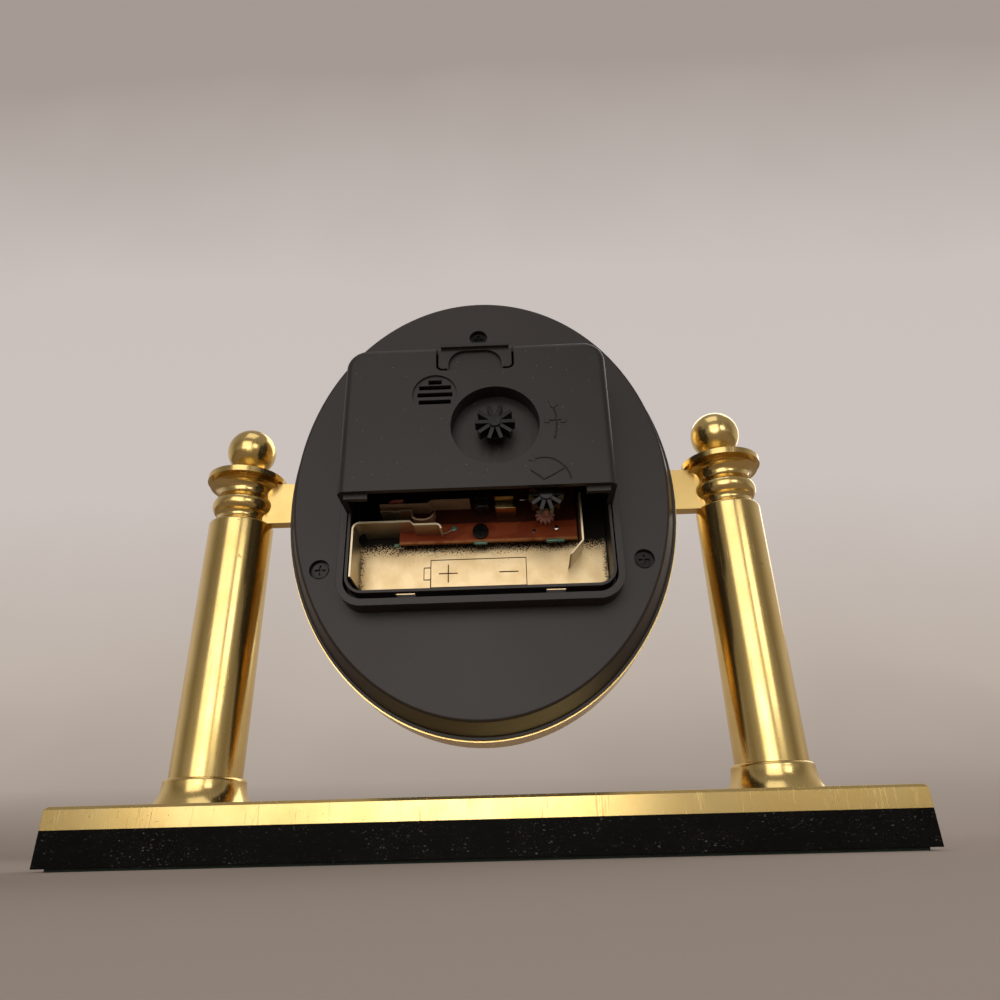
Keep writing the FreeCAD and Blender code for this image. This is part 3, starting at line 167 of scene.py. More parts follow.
# wear that every plastic shows: lint, specks of dust and rubbed streaks
plasticWear = {
    "lintSqueeze": (1.0, 1.0, 0.45), "lintScale": 2.6, "lintFade": (0.735, 0.76), "speckScale": 0.55,
    "speckFade": (0.075, 0.045), "dustRoughness": 0.25, "dustRelief": 1.5, "rubSqueeze": (1.0, 1.0, 0.12),
    "rubTurn": (0.0, 0.5, 0.0), "rubScale": 3.2, "rubFade": (0.66, 0.74), "rubShine": 0.06,
    "cloudFade": (0.35, 0.7), "index": 1.5,
}


def plastic(name, look):
    paint, web = newPaint(name)
    place, wear = web.place(), plasticWear
    cloud = web.noise(place, look["cloudScale"], 4.0)
    grain = web.noise(place, look["grainScale"], 2.0)
    colour = web.blend(web.fade(cloud, *wear["cloudFade"]), look["colour"], look["cloudColour"])
    lint = web.fade(web.noise(web.place(wear["lintSqueeze"]), wear["lintScale"], 3.0), *wear["lintFade"])
    specks = web.fade(web.cells(place, wear["speckScale"]), *wear["speckFade"])
    dust = (lint * look["lint"] + specks * look["dust"]).atMost(1.0)
    colour = web.blend(dust, colour, look["dustColour"])
    rubbed = web.noise(web.place(wear["rubSqueeze"], wear["rubTurn"]), wear["rubScale"], 3.0)
    marks = web.fade(rubbed, *wear["rubFade"])
    roughness = look["roughness"] + (cloud - 0.5) * look["sheenVariation"]
    roughness = roughness + dust * wear["dustRoughness"] - marks * wear["rubShine"]
    edge = web.roundEdge(look["edge"]) if look["edge"] else None
    normal = web.bump(grain + dust * wear["dustRelief"], look["grainStrength"], look["grainDepth"], edge)
    close(web, {
        "Base Color": colour, "Roughness": roughness, "Normal": normal,
        "IOR": wear["index"], "Specular IOR Level": look["specular"]})
    return paint


coverLook = {
    "colour": (0.0185, 0.0128, 0.0116), "cloudColour": (0.0230, 0.0165, 0.0150), "cloudScale": 0.05,
    "grainScale": 7.0, "grainStrength": 0.3, "grainDepth": 0.03, "roughness": 0.46, "sheenVariation": 0.10,
    "lint": 0.08, "dust": 0.14, "dustColour": (0.20, 0.19, 0.18), "edge": 0.16, "specular": 0.50,
}
movementLook = {
    "colour": (0.0175, 0.0148, 0.0134), "cloudColour": (0.0225, 0.0190, 0.0175), "cloudScale": 0.07,
    "grainScale": 9.0, "grainStrength": 0.28, "grainDepth": 0.03, "roughness": 0.44, "sheenVariation": 0.10,
    "lint": 0.10, "dust": 0.45, "dustColour": (0.32, 0.31, 0.28), "edge": 0.12, "specular": 0.42,
}
knobLook = {
    "colour": (0.0045, 0.0040, 0.0036), "cloudColour": (0.008, 0.007, 0.006), "cloudScale": 0.4,
    "grainScale": 12.0, "grainStrength": 0.15, "grainDepth": 0.015, "roughness": 0.13,
    "sheenVariation": 0.08, "lint": 0.06, "dust": 0.12, "dustColour": (0.30, 0.28, 0.25), "edge": 0.10,
    "specular": 0.26,
}
supportLook = {
    "colour": (0.62, 0.60, 0.55), "cloudColour": (0.70, 0.69, 0.65), "cloudScale": 0.08,
    "grainScale": 5.0, "grainStrength": 0.2, "grainDepth": 0.03, "roughness": 0.55, "sheenVariation": 0.1,
    "lint": 0.05, "dust": 0.12, "dustColour": (0.35, 0.33, 0.30), "edge": 0, "specular": 0.45,
}
gearWhiteLook = {
    "colour": (0.66, 0.63, 0.54), "cloudColour": (0.74, 0.71, 0.63), "cloudScale": 0.3,
    "grainScale": 6.0, "grainStrength": 0.1, "grainDepth": 0.02, "roughness": 0.38, "sheenVariation": 0.08,
    "lint": 0.05, "dust": 0.08, "dustColour": (0.40, 0.36, 0.30), "edge": 0, "specular": 0.5,
}
markLook = {
    "colour": (0.095, 0.055, 0.020), "cloudColour": (0.15, 0.09, 0.035), "cloudScale": 1.5,
    "grainScale": 9.0, "grainStrength": 0.1, "grainDepth": 0.01, "roughness": 0.55, "sheenVariation": 0.1,
    "lint": 0.0, "dust": 0.1, "dustColour": (0.50, 0.36, 0.16), "edge": 0, "specular": 0.2,
}
printLook = {
    "colour": (0.010, 0.010, 0.011), "cloudColour": (0.020, 0.019, 0.018), "cloudScale": 0.8,
    "grainScale": 8.0, "grainStrength": 0.1, "grainDepth": 0.01, "roughness": 0.35, "sheenVariation": 0.1,
    "lint": 0.0, "dust": 0.06, "dustColour": (0.35, 0.32, 0.28), "edge": 0, "specular": 0.5,
}
maskGreenLook = {
    "colour": (0.045, 0.16, 0.095), "cloudColour": (0.10, 0.25, 0.17), "cloudScale": 1.2,
    "grainScale": 5.0, "grainStrength": 0.3, "grainDepth": 0.05, "roughness": 0.25, "sheenVariation": 0.1,
    "lint": 0.1, "dust": 0.2, "dustColour": (0.30, 0.36, 0.26), "edge": 0, "specular": 0.6,
}
sleeveRedLook = {
    "colour": (0.30, 0.035, 0.018), "cloudColour": (0.40, 0.08, 0.035), "cloudScale": 1.2,
    "grainScale": 6.0, "grainStrength": 0.2, "grainDepth": 0.03, "roughness": 0.35, "sheenVariation": 0.1,
    "lint": 0.1, "dust": 0.2, "dustColour": (0.30, 0.20, 0.14), "edge": 0, "specular": 0.5,
}
gearPinkLook = {
    "colour": (0.46, 0.22, 0.19), "cloudColour": (0.56, 0.30, 0.26), "cloudScale": 0.5,
    "grainScale": 8.0, "grainStrength": 0.1, "grainDepth": 0.02, "roughness": 0.34, "sheenVariation": 0.08,
    "lint": 0.05, "dust": 0.10, "dustColour": (0.30, 0.26, 0.22), "edge": 0, "specular": 0.5,
}


# Metals

# wear that every metal shows: scratches along and across, tarnished blotches and pits
metalWear = {
    "cloudFade": (0.38, 0.72), "scratchFade": (0.60, 0.72), "crossTurn": (0.5, 0.9, 0.35),
    "crossFade": (0.66, 0.72), "blotchEdge": 0.05, "pitScale": 2.5, "pitFade": (0.12, 0.06),
    "patchScale": 0.35, "patchFade": (0.52, 0.60), "tarnishRoughness": 0.35, "tarnishRelief": 0.5,
    "relief": 0.5, "reliefDepth": 0.02,
}


def metal(name, look):
    paint, web = newPaint(name)
    place, wear, size = web.place(), metalWear, look["tarnishScale"]
    cloud = web.noise(place, look["cloudScale"], 4.0, 0.55)
    colour = web.blend(web.fade(cloud, *wear["cloudFade"]), look["colour"], look["cloudColour"])
    along = web.place(look["scratchSqueeze"], look["scratchTurn"])
    along = web.fade(web.noise(along, look["scratchScale"], 3.0, 0.6), *wear["scratchFade"])
    crossing = web.place(look["scratchSqueeze"], wear["crossTurn"])
    crossing = web.fade(web.noise(crossing, look["scratchScale"], 2.0), *wear["crossFade"])
    scratch = (along + crossing).atMost(1.0)
    blotch = web.noise(place, size, 5.0, 0.65)
    blotch = web.fade(blotch, look["tarnishFrom"], look["tarnishFrom"] + wear["blotchEdge"])
    pits = web.fade(web.cells(place, size * wear["pitScale"]), *wear["pitFade"])
    pits = pits * web.fade(web.noise(place, size * wear["patchScale"], 2.0), *wear["patchFade"])
    tarnish = (blotch + pits).atMost(1.0) * look["tarnish"]
    colour = web.blend(tarnish, colour, look["tarnishColour"])
    roughness = look["roughness"] + (cloud - 0.5) * look["smear"] + scratch * look["scratchRoughness"]
    roughness = roughness + tarnish * wear["tarnishRoughness"]
    edge = web.roundEdge(look["edge"]) if look["edge"] else None
    wave = web.noise(place, look["waveScale"], 1.0)
    relief = wave * look["wave"] - scratch * look["scratchDepth"] - tarnish * wear["tarnishRelief"]
    close(web, {
        "Base Color": colour, "Metallic": look["metallic"], "Roughness": roughness,
        "Normal": web.bump(relief, wear["relief"], wear["reliefDepth"], edge)})
    return paint


def metalLook(colour, cloudColour, roughness, **changes):
    look = {
        "colour": colour, "cloudColour": cloudColour, "cloudScale": 0.12, "roughness": roughness,
        "smear": 0.10, "scratchSqueeze": (1.0, 1.0, 0.06), "scratchTurn": (0, 0, 0), "scratchScale": 3.0,
        "scratchRoughness": 0.08, "scratchDepth": 0.06, "tarnishScale": 0.5, "tarnishFrom": 0.72,
        "tarnish": 0.6, "tarnishColour": (0.16, 0.085, 0.03), "wave": 0.2, "waveScale": 0.2, "edge": 0.08,
        "metallic": 1.0,
    }
    look.update(changes)
    return look


polishedLook = metalLook(
    (0.80, 0.60, 0.25), (0.74, 0.53, 0.19), 0.20, tarnish=0.75, tarnishFrom=0.70, scratchScale=2.2,
    wave=0.3, waveScale=0.10, tarnishColour=(0.12, 0.06, 0.02), scratchRoughness=0.12)
caseLook = metalLook((0.85, 0.64, 0.27), (0.79, 0.56, 0.21), 0.24, tarnish=0.2, tarnishFrom=0.76, edge=0.10)
strapLook = metalLook(
    (0.84, 0.61, 0.24), (0.78, 0.55, 0.20), 0.32, tarnish=0.2, tarnishFrom=0.76, scratchScale=7.0,
    scratchSqueeze=(0.5, 1.0, 1.0), wave=0.1)
ringLook = metalLook(
    (0.72, 0.54, 0.24), (0.66, 0.48, 0.19), 0.30, tarnish=0.15, scratchScale=6.0, edge=0)
hubLook = metalLook((0.74, 0.55, 0.22), (0.68, 0.49, 0.18), 0.20, tarnish=0.2, scratchScale=8.0, edge=0)
steelLook = metalLook(
    (0.50, 0.50, 0.51), (0.42, 0.42, 0.44), 0.28, tarnishColour=(0.20, 0.12, 0.07), tarnish=0.3, edge=0)
darkSteelLook = metalLook(
    (0.026, 0.025, 0.024), (0.016, 0.016, 0.016), 0.24, tarnishColour=(0.02, 0.017, 0.014), tarnish=0.5,
    cloudScale=0.9, scratchScale=7.0, scratchRoughness=0.2, edge=0.05)
canLook = metalLook((0.62, 0.62, 0.62), (0.54, 0.54, 0.55), 0.16, tarnish=0.2, edge=0)
ironLook = metalLook(
    (0.36, 0.35, 0.34), (0.28, 0.27, 0.26), 0.42, tarnishColour=(0.18, 0.10, 0.05), tarnish=0.4, edge=0)
sounderLook = metalLook((0.66, 0.50, 0.24), (0.60, 0.44, 0.19), 0.30, tarnish=0.3, edge=0)
nickelLook = metalLook(
    (0.62, 0.54, 0.39), (0.54, 0.44, 0.27), 0.30, tarnish=0.35, tarnishScale=0.9, tarnishFrom=0.66,
    tarnishColour=(0.26, 0.17, 0.07), scratchScale=5.0, edge=0.06, metallic=0.8)
leverLook = metalLook(
    (0.58, 0.43, 0.30), (0.46, 0.30, 0.18), 0.34, tarnish=0.3, tarnishScale=0.8, edge=0.05, metallic=0.35)
gearSteelLook = metalLook((0.50, 0.50, 0.50), (0.44, 0.44, 0.45), 0.25, tarnish=0.2, edge=0)
magnetLook = metalLook(
    (0.13, 0.13, 0.14), (0.09, 0.09, 0.10), 0.52, cloudScale=1.5, tarnish=0.2, edge=0)
handBrassLook = metalLook(
    (0.76, 0.57, 0.24), (0.70, 0.51, 0.19), 0.24, tarnish=0.15, scratchScale=9.0, edge=0)


# Stone of the base: black with grey and silvery flakes and faint veins

stoneLook = {
    "colour": (0.0040, 0.0036, 0.0032), "cloudColour": (0.0075, 0.0070, 0.0062), "cloudScale": 0.25,
    "flakeColour": (0.15, 0.145, 0.135), "flakeSqueeze": (0.8, 1.0, 1.6), "flakeScale": 1.0,
    "flakeFade": (0.25, 0.10), "grainScale": 3.5, "patchScale": 0.12, "patchFade": (0.44, 0.60),
    "fineScale": 3.0, "fineFade": (0.62, 0.70), "fine": 0.35, "veinColour": (0.026, 0.024, 0.022),
    "veinSqueeze": (0.35, 1.0, 1.6), "veinScale": 1.1, "veinFade": (0.60, 0.72), "vein": 0.5,
    "cloudFade": (0.4, 0.75), "grainFade": (0.48, 0.56), "patchShare": 0.85, "patchLeast": 0.15,
    "roughness": 0.42, "cloudRoughness": 0.15, "flakeRoughness": 0.2, "grainRelief": 0.3, "relief": 0.3,
    "reliefDepth": 0.03, "index": 1.5, "specular": 0.05, "edge": 0.2,
}


def stone(name, look):
    paint, web = newPaint(name)
    place = web.place()
    cloud = web.noise(place, look["cloudScale"], 5.0, 0.6)
    grains = web.noise(place, look["grainScale"], 3.0, 0.6)
    patch = web.fade(web.noise(place, look["patchScale"], 3.0), *look["patchFade"])
    flakes = web.fade(web.cells(web.place(look["flakeSqueeze"]), look["flakeScale"]), *look["flakeFade"])
    spread = patch * look["patchShare"] + look["patchLeast"]
    flakes = flakes * web.fade(grains, *look["grainFade"]) * spread
    fine = web.fade(web.noise(place, look["fineScale"], 2.0), *look["fineFade"]) * patch * look["fine"]
    vein = web.noise(web.place(look["veinSqueeze"]), look["veinScale"], 4.0, 0.7)
    vein = web.fade(vein, *look["veinFade"]) * look["vein"]
    colour = web.blend(web.fade(cloud, *look["cloudFade"]), look["colour"], look["cloudColour"])
    colour = web.blend(vein, colour, look["veinColour"])
    colour = web.blend((flakes + fine).atMost(1.0), colour, look["flakeColour"])
    roughness = look["roughness"] + cloud * look["cloudRoughness"] + flakes * look["flakeRoughness"]
    relief = grains * look["grainRelief"] - flakes
    close(web, {
        "Base Color": colour, "Roughness": roughness, "IOR": look["index"],
        "Specular IOR Level": look["specular"],
        "Normal": web.bump(relief, look["relief"], look["reliefDepth"], web.roundEdge(look["edge"]))})
    return paint


# Felt under the base

feltLook = {
    "colour": (0.020, 0.034, 0.026), "fibreColour": (0.055, 0.080, 0.062), "fibreSqueeze": (1.0, 0.4, 1.0),
    "fibreScale": 4.0, "fibreFade": (0.35, 0.7), "mattedScale": 0.3, "mattedFade": (0.55, 0.8),
    "roughness": 0.95, "sheen": 0.5, "relief": 0.8, "reliefDepth": 0.12,
}


def felt(name, look):
    paint, web = newPaint(name)
    fibres = web.noise(web.place(look["fibreSqueeze"]), look["fibreScale"], 5.0, 0.7)
    matted = web.noise(web.place(), look["mattedScale"], 3.0)
    colour = web.blend(web.fade(fibres, *look["fibreFade"]), look["colour"], look["fibreColour"])
    colour = web.blend(web.fade(matted, *look["mattedFade"]), colour, look["colour"])
    close(web, {
        "Base Color": colour, "Roughness": look["roughness"], "Sheen Weight": look["sheen"],
        "Sheen Roughness": 0.5, "Normal": web.bump(fibres, look["relief"], look["reliefDepth"])})
    return paint


# Circuit board: red-brown lacquer over copper tracks, a paler cut edge, and painted shade of the lid over
# its upper part

boardLook = {
    "colour": (0.230, 0.038, 0.009), "trackColour": (0.310, 0.064, 0.017), "cutColour": (0.42, 0.17, 0.060),
    "fluxColour": (0.09, 0.10, 0.055), "lidShadeColour": (0.020, 0.005, 0.002), "wide": (0.5, 1.0, 1.0),
    "trackScale": 0.28, "tracks": 0.7, "weaveSqueeze": (1.0, 1.0, 4.0), "weaveScale": 3.0, "weave": 0.25,
    "fluxScale": 0.9, "flux": 0.6, "lidShade": 0.90, "roughness": 0.42, "specular": 0.12,
    "cutFade": (61.45, 61.05), "lidShadeFade": (64.9, 65.25),              # heights
    "wobbleScale": 0.5, "trackFade": (0.50, 0.53), "weaveFade": (0.55, 0.75), "cutWobble": (0.2, 0.5),
    "fluxFade": (0.66, 0.72), "lidShadeWobble": 0.6, "cutRoughness": 0.35, "fluxRoughness": 0.2,
    "trackRelief": 0.6, "weaveRelief": 0.2, "relief": 0.35, "reliefDepth": 0.03,
}


def board(name, look):
    paint, web = newPaint(name)
    place = web.place()
    height = web.part(place, 2)
    wobble = web.noise(place, look["wobbleScale"], 1.0)
    rows = web.fade(web.noise(web.place(look["wide"]), look["trackScale"], 1.0), *look["trackFade"])
    weave = web.noise(web.place(look["weaveSqueeze"]), look["weaveScale"], 2.0)
    colour = web.blend(rows * look["tracks"], look["colour"], look["trackColour"])
    colour = web.blend(web.fade(weave, *look["weaveFade"]) * look["weave"], colour, look["cutColour"])
    edge = web.fade(height, *look["cutFade"]) * web.fade(wobble, *look["cutWobble"])
    colour = web.blend(edge, colour, look["cutColour"])
    flux = web.fade(web.noise(web.place(look["wide"]), look["fluxScale"], 3.0), *look["fluxFade"])
    flux = flux * look["flux"]
    colour = web.blend(flux, colour, look["fluxColour"])
    # painted shade: above a wobbly height the board turns near black, standing in for the lid's shadow
    lidShade = web.fade(height + (wobble - 0.5) * look["lidShadeWobble"], *look["lidShadeFade"])
    colour = web.blend(lidShade * look["lidShade"], colour, look["lidShadeColour"])
    roughness = look["roughness"] + edge * look["cutRoughness"] + flux * look["fluxRoughness"]
    relief = rows * look["trackRelief"] + weave * look["weaveRelief"]
    close(web, {
        "Base Color": colour, "Roughness": roughness, "Specular IOR Level": look["specular"],
        "Normal": web.bump(relief, look["relief"], look["reliefDepth"])})
    return paint


# Gold-coloured bay floor: brushed sheet with a speckled dark overspray towards its edges

bayLook = {
    "colour": (0.62, 0.49, 0.29), "cloudColour": (0.50, 0.365, 0.19), "sprayColour": (0.010, 0.008, 0.006),
    "brushSqueeze": (0.06, 1.0, 1.0), "brushScale": 14.0, "driftScale": 0.35, "speckScale": 3.4,
    "topFade": (58.2, 62.2), "topDrift": 1.8, "sideFade": (25.0, 27.4), "sideDrift": 1.6, "middle": -0.4,
    "sprayFade": (0.46, 0.62), "speckShare": 0.75, "strayScale": 0.9, "strayFade": (52.0, 59.0),
    "cloudScale": 0.25, "cloudFade": (0.4, 0.75), "speckFade": (0.38, 0.62), "strayCells": (0.09, 0.05),
    "roughness": 0.34, "brushRoughness": 0.10, "sprayRoughness": 0.30, "brushRelief": 0.15,
    "sprayRelief": 0.6, "relief": 0.3, "reliefDepth": 0.015, "specular": 0.15,
}


def bayFloor(name, look):
    paint, web = newPaint(name)
    place = web.place()
    across, height = web.part(place, 0), web.part(place, 2)
    cloud = web.noise(place, look["cloudScale"], 4.0)
    brushed = web.noise(web.place(look["brushSqueeze"]), look["brushScale"], 3.0)
    drift = web.noise(place, look["driftScale"], 3.0) - 0.5
    speck = web.fade(web.noise(place, look["speckScale"], 3.0, 0.75), *look["speckFade"]) - 0.5
    above = web.fade(height + drift * look["topDrift"], *look["topFade"])
    side = web.fade((across - look["middle"]).size() + drift * look["sideDrift"], *look["sideFade"])
    spray = web.fade(above.atLeast(side) + speck * look["speckShare"], *look["sprayFade"])
    stray = web.fade(web.cells(place, look["strayScale"]), *look["strayCells"])
    spray = (spray + stray * web.fade(height, *look["strayFade"])).atMost(1.0)
    colour = web.blend(web.fade(cloud, *look["cloudFade"]), look["colour"], look["cloudColour"])
    colour = web.blend(spray, colour, look["sprayColour"])
    roughness = look["roughness"] + (brushed - 0.5) * look["brushRoughness"]
    roughness = roughness + spray * look["sprayRoughness"]
    relief = brushed * look["brushRelief"] + spray * look["sprayRelief"]
    close(web, {
        "Base Color": colour, "Metallic": 1.0 - spray, "Roughness": roughness,
        "Specular IOR Level": look["specular"],
        "Normal": web.bump(relief, look["relief"], look["reliefDepth"])})
    return paint


# Printed dial, resin, lacquered wire, black hands and glass

dialLook = {
    "colour": (0.80, 0.77, 0.68), "cloudColour": (0.74, 0.70, 0.60), "cloudScale": 0.06,
    "cloudFade": (0.4, 0.7), "edgeColour": (0.62, 0.57, 0.46), "edgeFade": (0.55, 1.0), "edge": 0.6,
    "middle": 74.4, "fadeAcross": 0.00065, "fadeHigh": 0.00042, "fibreScale": 5.0, "roughness": 0.50,
    "fibreRoughness": 0.1, "relief": 0.2, "reliefDepth": 0.02, "coat": 0.1, "coatRoughness": 0.3,
}


def dialFace(name, look):
    paint, web = newPaint(name)
    place = web.place()
    across, height = web.part(place, 0), web.part(place, 2) - look["middle"]
    cloud = web.noise(place, look["cloudScale"], 4.0)
    fibre = web.noise(place, look["fibreScale"], 3.0)
    away = across * across * look["fadeAcross"] + height * height * look["fadeHigh"]
    colour = web.blend(web.fade(cloud, *look["cloudFade"]), look["colour"], look["cloudColour"])
    colour = web.blend(web.fade(away, *look["edgeFade"]) * look["edge"], colour, look["edgeColour"])
    close(web, {
        "Base Color": colour, "Roughness": look["roughness"] + fibre * look["fibreRoughness"],
        "Normal": web.bump(fibre, look["relief"], look["reliefDepth"]), "Coat Weight": look["coat"],
        "Coat Roughness": look["coatRoughness"]})
    return paint


resinLook = {
    "colour": (0.010, 0.010, 0.010), "cloudColour": (0.022, 0.020, 0.019), "flowScale": 0.5,
    "flowFade": (0.4, 0.7), "roughness": 0.12, "flowRoughness": 0.16, "relief": 0.6, "reliefDepth": 0.15,
}


def resin(name, look):
    paint, web = newPaint(name)
    flow = web.noise(web.place(), look["flowScale"], 3.0)
    colour = web.blend(web.fade(flow, *look["flowFade"]), look["colour"], look["cloudColour"])
    close(web, {
        "Base Color": colour, "Roughness": look["roughness"] + flow * look["flowRoughness"],
        "Normal": web.bump(flow, look["relief"], look["reliefDepth"])})
    return paint


wireLook = {
    "colour": (0.50, 0.17, 0.06), "grooveShadeColour": (0.10, 0.03, 0.012), "turns": 6.5, "distortion": 0.4,
    "grooveShadeFade": (0.1, 0.6), "wanderScale": 0.8, "metallic": 0.7, "roughness": 0.28, "wanderRoughness": 0.15,
    "coat": 0.4, "relief": 0.8, "reliefDepth": 0.06,
}


def wire(name, look):
    paint, web = newPaint(name)
    turns = web.add(
        "ShaderNodeTexWave", {"wave_type": "BANDS", "bands_direction": "X", "wave_profile": "SIN"},
        {"Vector": web.place(), "Scale": look["turns"], "Distortion": look["distortion"], "Detail": 1.0},
        "Fac")
    wander = web.noise(web.place(), look["wanderScale"], 2.0)
    # painted shade: dark bands between the turns stand in for the shade in the grooves between them
    colour = web.blend(web.fade(turns, *look["grooveShadeFade"]), look["grooveShadeColour"], look["colour"])
    close(web, {
        "Base Color": colour, "Metallic": look["metallic"],
        "Roughness": look["roughness"] + wander * look["wanderRoughness"], "Coat Weight": look["coat"],
        "Normal": web.bump(turns, look["relief"], look["reliefDepth"])})
    return paint


handLook = {
    "colour": (0.012, 0.012, 0.013), "cloudColour": (0.020, 0.020, 0.021), "cloudScale": 0.6,
    "cloudFade": (0.4, 0.7), "peelScale": 3.0, "roughness": 0.20, "cloudRoughness": 0.15, "coat": 0.3,
    "relief": 0.2, "reliefDepth": 0.02,
}


def lacquer(name, look):
    paint, web = newPaint(name)
    cloud = web.noise(web.place(), look["cloudScale"], 3.0)
    peel = web.noise(web.place(), look["peelScale"], 1.0)
    colour = web.blend(web.fade(cloud, *look["cloudFade"]), look["colour"], look["cloudColour"])
    close(web, {
        "Base Color": colour, "Roughness": look["roughness"] + cloud * look["cloudRoughness"],
        "Coat Weight": look["coat"], "Normal": web.bump(peel, look["relief"], look["reliefDepth"])})
    return paint


glassLook = {
    "colour": (0.93, 0.97, 0.95), "alpha": 0.10, "smear": 0.05, "smearSqueeze": (1.0, 1.0, 0.4),
    "smearScale": 0.08, "smearFade": (0.5, 0.75), "roughness": 0.015, "smearRoughness": 0.10,
}


def glass(name, look):
    paint, web = newPaint(name)
    smear = web.noise(web.place(look["smearSqueeze"]), look["smearScale"], 4.0)
    prints = web.fade(smear, *look["smearFade"])
    close(web, {
        "Base Color": look["colour"], "Metallic": 1.0,
        "Roughness": look["roughness"] + prints * look["smearRoughness"],
        "Alpha": look["alpha"] + prints * look["smear"]})
    return paint


makers = {
    "felt": (felt, feltLook), "stone": (stone, stoneLook), "polished_brass": (metal, polishedLook),
    "case_brass": (metal, caseLook), "strap_brass": (metal, strapLook), "steel": (metal, steelLook),
    "dark_steel": (metal, darkSteelLook), "glass": (glass, glassLook), "ring_brass": (metal, ringLook),
    "dial_white": (dialFace, dialLook), "support_plastic": (plastic, supportLook),
    "cover_plastic": (plastic, coverLook), "movement_plastic": (plastic, movementLook),
    "knob_plastic": (plastic, knobLook), "hub_brass": (metal, hubLook), "bay_gold": (bayFloor, bayLook),
    "board": (board, boardLook), "chip_resin": (resin, resinLook), "can_metal": (metal, canLook),
    "soft_iron": (metal, ironLook), "copper_wire": (wire, wireLook), "sounder_brass": (metal, sounderLook),
    "contact_nickel": (metal, nickelLook), "lever_copper": (metal, leverLook),
    "gear_white": (plastic, gearWhiteLook), "gear_pink": (plastic, gearPinkLook),
    "gear_steel": (metal, gearSteelLook), "magnet": (metal, magnetLook), "hand_black": (lacquer, handLook),
    "hand_brass": (metal, handBrassLook),
    "mark": (plastic, markLook), "print": (plastic, printLook), "mask_green": (plastic, maskGreenLook),
    "sleeve_red": (plastic, sleeveRedLook), "solder": (metal, canLook),
}
finishes = {slot: make(slot, look) for slot, (make, look) in makers.items()}
for subpart in frame["record"]["subparts"]:
    node = nodes[subpart["node"]]
    for slot in node.material_slots:
        slot.material = finishes[subpart["material_slot"]]
recordSlots = {subpart["material_slot"] for subpart in frame["record"]["subparts"]}
print("stage: materials,", len(finishes), "finishes")


# Pieces

# degrees past which an edge stays sharp, and metres within which points are one
meshLook = {"sharpFrom": 40, "mergeWithin": 1e-7, "pegSides": 28, "arcSteps": 20}


def piece(name, mesh, finish):
    thing = bpy.data.objects.new(name, mesh)
    bpy.context.collection.objects.link(thing)
    mesh.materials.clear()
    mesh.materials.append(finishes[finish])
    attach(thing, "clock_frame")
    finish in recordSlots
    mesh.shade_smooth()
    mesh.set_sharp_from_angle(angle=radians(meshLook["sharpFrom"]))


def finished(bm, name, finish):
    bmesh.ops.remove_doubles(bm, verts=bm.verts, dist=meshLook["mergeWithin"])
    bmesh.ops.recalc_face_normals(bm, faces=bm.faces)
    mesh = bpy.data.meshes.new(name)
    bm.to_mesh(mesh)
    bm.free()
    piece(name, mesh, finish)


# a mesh from a curve or a text
def meshOf(data):
    draft = bpy.data.objects.new("draft", data)
    bpy.context.collection.objects.link(draft)
    mesh = bpy.data.meshes.new_from_object(draft.evaluated_get(bpy.context.evaluated_depsgraph_get()))
    bpy.data.objects.remove(draft)
    return mesh


# fine raised or printed lines, as thin rounded beads that follow given points
def lines(name, paths, width, finish):
    curve = bpy.data.curves.new(name, "CURVE")
    curve.dimensions = "3D"
    curve.bevel_depth = width / 2000
    curve.bevel_resolution = 1
    curve.use_fill_caps = True
    for points in paths:
        spline = curve.splines.new("POLY")
        spline.points.add(len(points) - 1)
        for knot, point in zip(spline.points, points):
            knot.co = (*point, 1.0)
    piece(name, meshOf(curve), finish)


def strokes(paths, depth):
    return [[spot(across, height, depth) for across, height in path] for path in paths]


def arc(centre, radius, start, end, depth):
    steps = meshLook["arcSteps"]
    turn = [radians(start + (end - start) * step / steps) for step in range(steps + 1)]
    return [spot(centre[0] + radius * cos(a), centre[1] + radius * sin(a), depth) for a in turn]


def only(kind, items):
    return [item for item in items if isinstance(item, kind)]


# a plate of any outline in the head's plane, from one depth to another
def plate(bm, outline, front, back):
    face = bm.faces.new([bm.verts.new(spot(across, height, front)) for across, height in outline])
    more = bmesh.ops.extrude_face_region(bm, geom=[face])["geom"]
    bmesh.ops.translate(bm, verts=only(bmesh.types.BMVert, more), vec=(0, (back - front) / 1000, 0))


def soften(bm, edges, soft):
    bmesh.ops.bevel(
        bm, geom=list(edges), offset=soft / 1000, offset_type="OFFSET", affect="EDGES", segments=2,
        profile=0.5, material=-1)


def block(bm, left, right, bottom, top, front, back, soft):
    middle = spot((left + right) / 2, (bottom + top) / 2, (front + back) / 2)
    size = ((right - left) / 1000, (back - front) / 1000, (top - bottom) / 1000, 1.0)
    made = bmesh.ops.create_cube(bm, size=1.0, matrix=Matrix.Translation(middle) @ Matrix.Diagonal(size))
    soften(bm, {edge for vert in made["verts"] for edge in vert.link_edges}, soft)


def peg(bm, across, height, radius, front, back, soft):
    turned = Matrix.Translation(spot(across, height, (front + back) / 2)) @ Matrix.Rotation(pi / 2, 4, "X")
    made = bmesh.ops.create_cone(
        bm, cap_ends=True, segments=meshLook["pegSides"], radius1=radius / 1000, radius2=radius / 1000,
        depth=(back - front) / 1000, matrix=turned)
    rims = {edge for vert in made["verts"] for edge in vert.link_edges
            if any(len(face.verts) > 4 for face in edge.link_faces)}
    soften(bm, rims, soft)


def ribbon(points, thick):
    above = [(across, height + thick / 2) for across, height in points]
    below = [(across, height - thick / 2) for across, height in reversed(points)]
    return above + below


# Raised signs on the movement cover: how the hands are set, and how the alarm is

